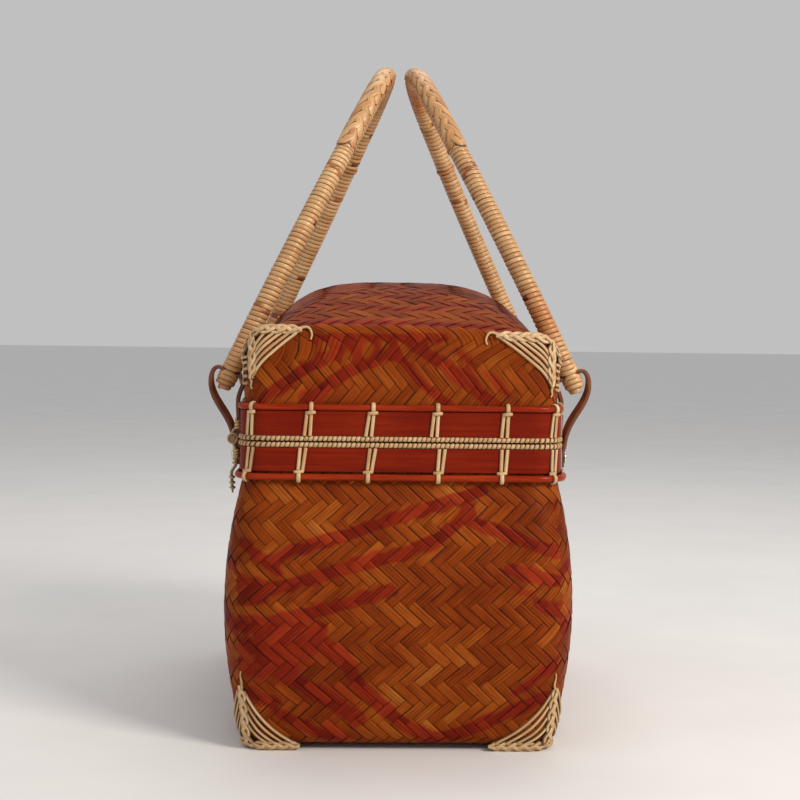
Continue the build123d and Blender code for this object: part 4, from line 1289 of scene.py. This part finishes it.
for side_name, sx in (("left", -1), ("right", 1)):
    for end, e in (("front", -1), ("rear", 1)):
        line = resample(catmull(STRAP_LINE, 4), 0.9)
        P = np.stack([sx * line[:, 0], np.full(len(line), e * HALF_SPAN), line[:, 1]], 1)
        T = np.gradient(P, axis=0)
        T = T / np.linalg.norm(T, axis=1, keepdims=True)
        N = np.cross(T, np.array([0, 1.0, 0]))
        # the outer half turns a little on itself
        along = np.linspace(0, 1, len(P))
        twist = math.radians(28.0) * e * sx * np.clip(np.sin((along - 0.56) / 0.38 * math.pi), 0, 1) * ((along > 0.56) & (along < 0.94))
        B = np.cross(T, N)
        N = N * np.cos(twist)[:, None] + B * np.sin(twist)[:, None]
        w, t = 5.4, 2.1
        sec = [
            (-w / 2, -t * 0.3), (-w / 2 + 0.5, -t / 2), (0, -t / 2), (w / 2 - 0.5, -t / 2), (w / 2, -t * 0.3),
            (w / 2, t * 0.3), (w / 2 - 0.5, t / 2), (0, t / 2), (-w / 2 + 0.5, t / 2), (-w / 2, t * 0.3),
        ]
        acc = Strands()
        acc.sweep(P, N, sec, tone=0.5)
        node = "strap_%s_%s" % (side_name, end)
        ob = acc.make(node + "_leather", None, "leather", LEATHER, (node,), sharp=40)
        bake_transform(ob)

# ----------------------------------------------------------------- hinges
PIVOT_X, HINGE_Y, PARTING = 86.0, 105.5, 157.3


def post(acc, p0, p1, axis1, half1, half2, pitch, sec, power=0.7, tone=0.7):
    p0, p1 = np.array(p0, float), np.array(p1, float)
    n = 30
    C = p0 + (p1 - p0) * np.linspace(0, 1, n)[:, None]
    T = (p1 - p0) / np.linalg.norm(p1 - p0)
    A = np.array(axis1, float)
    B = np.cross(T, A)
    wound(
        acc, C, np.tile(A, (n, 1)), np.tile(B, (n, 1)), half1, half2, pitch, sec, per_turn=14, power=power,
        tone=lambda t, ph: np.clip(tone + 0.2 * noise1(len(t), 14, RNG), 0, 1), jitter=0.1,
    )


for end, e in (("front", -1), ("rear", 1)):
    y = e * HINGE_Y
    acc = Strands()
    for k in (-3.05, 3.05):
        post(acc, (-PIVOT_X, y + k - 1.1, PARTING), (-PIVOT_X, y + k + 1.1, PARTING), (1, 0, 0), 2.3, 2.3, 0.95, round_section(0.62, 6), 1.0)
        # down from the eye to the band
        P = catmull([(-85.6, y + k, 155.6), (-84.9, y + k * 0.9, 153.0), (-84.3, y + k * 0.75, 150.0), (-84.2, y + k * 0.5, 147.0)], 5)
        acc.sweep(P, np.array([-1.0, 0, 0]), low_section(2.4, 1.3, 0.25), tone=RNG.uniform(0.5, 0.9))
    post(acc, (-84.3, y, 147.0), (-84.3, y, 152.6), (1, 0, 0), 1.35, 3.7, 1.5, low_section(1.4, 0.6, 0.15), 0.6)
    P = catmull([(-84.4, y, 147.5), (-84.5, y, 143.6), (-85.6, y, 141.6), (-86.6, y, 139.6), (-86.4, y, 136.0), (-86.2, y, 132.0), (-86.0, y, 129.2)], 6)
    acc.sweep(P, np.array([-1.0, 0, 0]), low_section(2.6, 1.5, 0.3), tone=0.6, scale=np.interp(np.linspace(0, 1, len(P)), [0, 0.7, 1], [1, 0.9, 0.5]))
    for z, x in ((144.6, -84.9), (137.2, -86.45), (134.4, -86.3), (131.8, -86.2)):
        P = [(x + 1.2 * math.cos(g), y + 1.75 * math.sin(g), z + 0.25 * math.sin(g * 2)) for g in np.linspace(0, 2 * math.pi, 15)[:-1]]
        P = np.array(P)
        N = P - np.array([x, y, z])
        acc.sweep(P, N / np.linalg.norm(N, axis=1, keepdims=True), round_section(0.5, 6), closed=True, tone=RNG.uniform(0.4, 0.9))
    acc.make("hinge_%s_body_lashing" % end, "body", "rattan", RATTAN, ("hinge_body_loop_" + end,), sharp=60)

    acc = Strands()
    post(acc, (-PIVOT_X, y - 1.1, PARTING), (-PIVOT_X, y + 1.1, PARTING), (1, 0, 0), 2.3, 2.3, 0.95, round_section(0.62, 6), 1.0)
    P = catmull([(-86.4, y, 159.4), (-85.6, y, 161.2), (-84.4, y, 162.6), (-83.9, y, 165.6)], 5)
    acc.sweep(P, np.array([-1.0, 0, 0]), low_section(2.5, 1.3, 0.25), tone=0.7)
    post(acc, (-83.6, y, 161.8), (-83.6, y, 167.4), (1, 0, 0), 1.2, 3.1, 1.5, low_section(1.4, 0.6, 0.15), 0.6)
    acc.make("hinge_%s_lid_lashing" % end, "lid", "rattan", RATTAN, ("hinge_lid_loop_" + end,), sharp=60)

# ---------------------------------------------------------- CAD materials
def paint(prefixes, material):
    for name, ob in frame["nodes"].items():
        if name.startswith(prefixes):
            ob.data.materials.clear()
            ob.data.materials.append(material)


paint(("body_outer_band", "lid_outer_band", "body_inner_band", "lid_inner_band"), BAND)
paint(("body_lower_rod", "lid_upper_rod"), ROD)
paint(("rivet_",), METAL)
paint(("body_rim_core", "lid_rim_core", "handle_core", "hinge_core"), CANE)

# ------------------------------------------------------- floor and backdrop
def plane(name, size, z, material):
    me = bpy.data.meshes.new(name)
    h = size / 2
    me.from_pydata([(-h, -h, z), (h, -h, z), (h, h, z), (-h, h, z)], [], [(0, 1, 2, 3)])
    me.materials.append(material)
    ob = bpy.data.objects.new(name, me)
    bpy.context.scene.collection.objects.link(ob)
    return ob


floor_material, nt, bsdf = new_material("pale_floor")
k = Nodes(nt)
n = k.noise(k.coords(), 9.0, 3.0, 0.6)
k.put(bsdf.inputs["Base Color"], k.ramp(n, [(0.3, (0.74, 0.73, 0.72)), (0.7, (0.78, 0.77, 0.76))]))
bsdf.inputs["Roughness"].default_value = 0.7
plane("floor", 30.0, 0.0, floor_material)

world = bpy.data.worlds.new("studio")
bpy.context.scene.world = world
world.use_nodes = True
wn = world.node_tree
wn.nodes["Background"].inputs["Color"].default_value = (0.80, 0.80, 0.81, 1)
wn.nodes["Background"].inputs["Strength"].default_value = 0.66


def area_light(name, place, target, size, power, colour=(1, 1, 1)):
    data = bpy.data.lights.new(name, "AREA")
    data.energy = power
    data.size = size
    data.color = colour
    ob = bpy.data.objects.new(name, data)
    ob.location = place
    ob.rotation_mode = "QUATERNION"
    ob.rotation_quaternion = (Vector(target) - Vector(place)).to_track_quat("-Z", "Y")
    bpy.context.scene.collection.objects.link(ob)
    return ob


area_light("key", (1.0, -1.0, 1.0), (0, 0, 0.15), 0.5, 20.0, (1.0, 0.93, 0.84))
area_light("fill", (-1.3, -0.9, 0.7), (0, 0, 0.15), 1.0, 1.5, (1.0, 0.97, 0.94))
area_light("top", (0.1, 0.5, 1.5), (0, 0, 0.2), 0.9, 6.0, (1.0, 0.95, 0.88))

# ------------------------------------------------------------------ camera
cam_data = bpy.data.cameras.new("camera")
cam_data.lens = 67.5
cam_data.sensor_width = 36.0
cam = bpy.data.objects.new("camera", cam_data)
bpy.context.scene.collection.objects.link(cam)
bpy.context.scene.camera = cam
EYE = Vector((-0.020, -0.876, 0.214))
PITCH, ROLL, YAW = -0.047, math.radians(0.7), 0.0013 - 0.0266
cam.rotation_mode = "QUATERNION"
view_rot = (
    Matrix.Rotation(YAW, 4, "Z")
    @ Matrix.Rotation(math.pi / 2 + PITCH, 4, "X")
    @ Matrix.Rotation(ROLL, 4, "Z")
)
cam.location = EYE
cam.rotation_quaternion = view_rot.to_quaternion()
cam_data.clip_start, cam_data.clip_end = 0.05, 50.0
scene = bpy.context.scene
scene.view_settings.view_transform = "Standard"

total = 0
for ob in scene.objects:
    if ob.type == "MESH" and not ob.hide_render:
        c = sum(len(p.vertices) - 2 for p in ob.data.polygons)
        total += c
        if c > 20000:
            print("triangles", ob.name, c)
print("triangles in all", total)
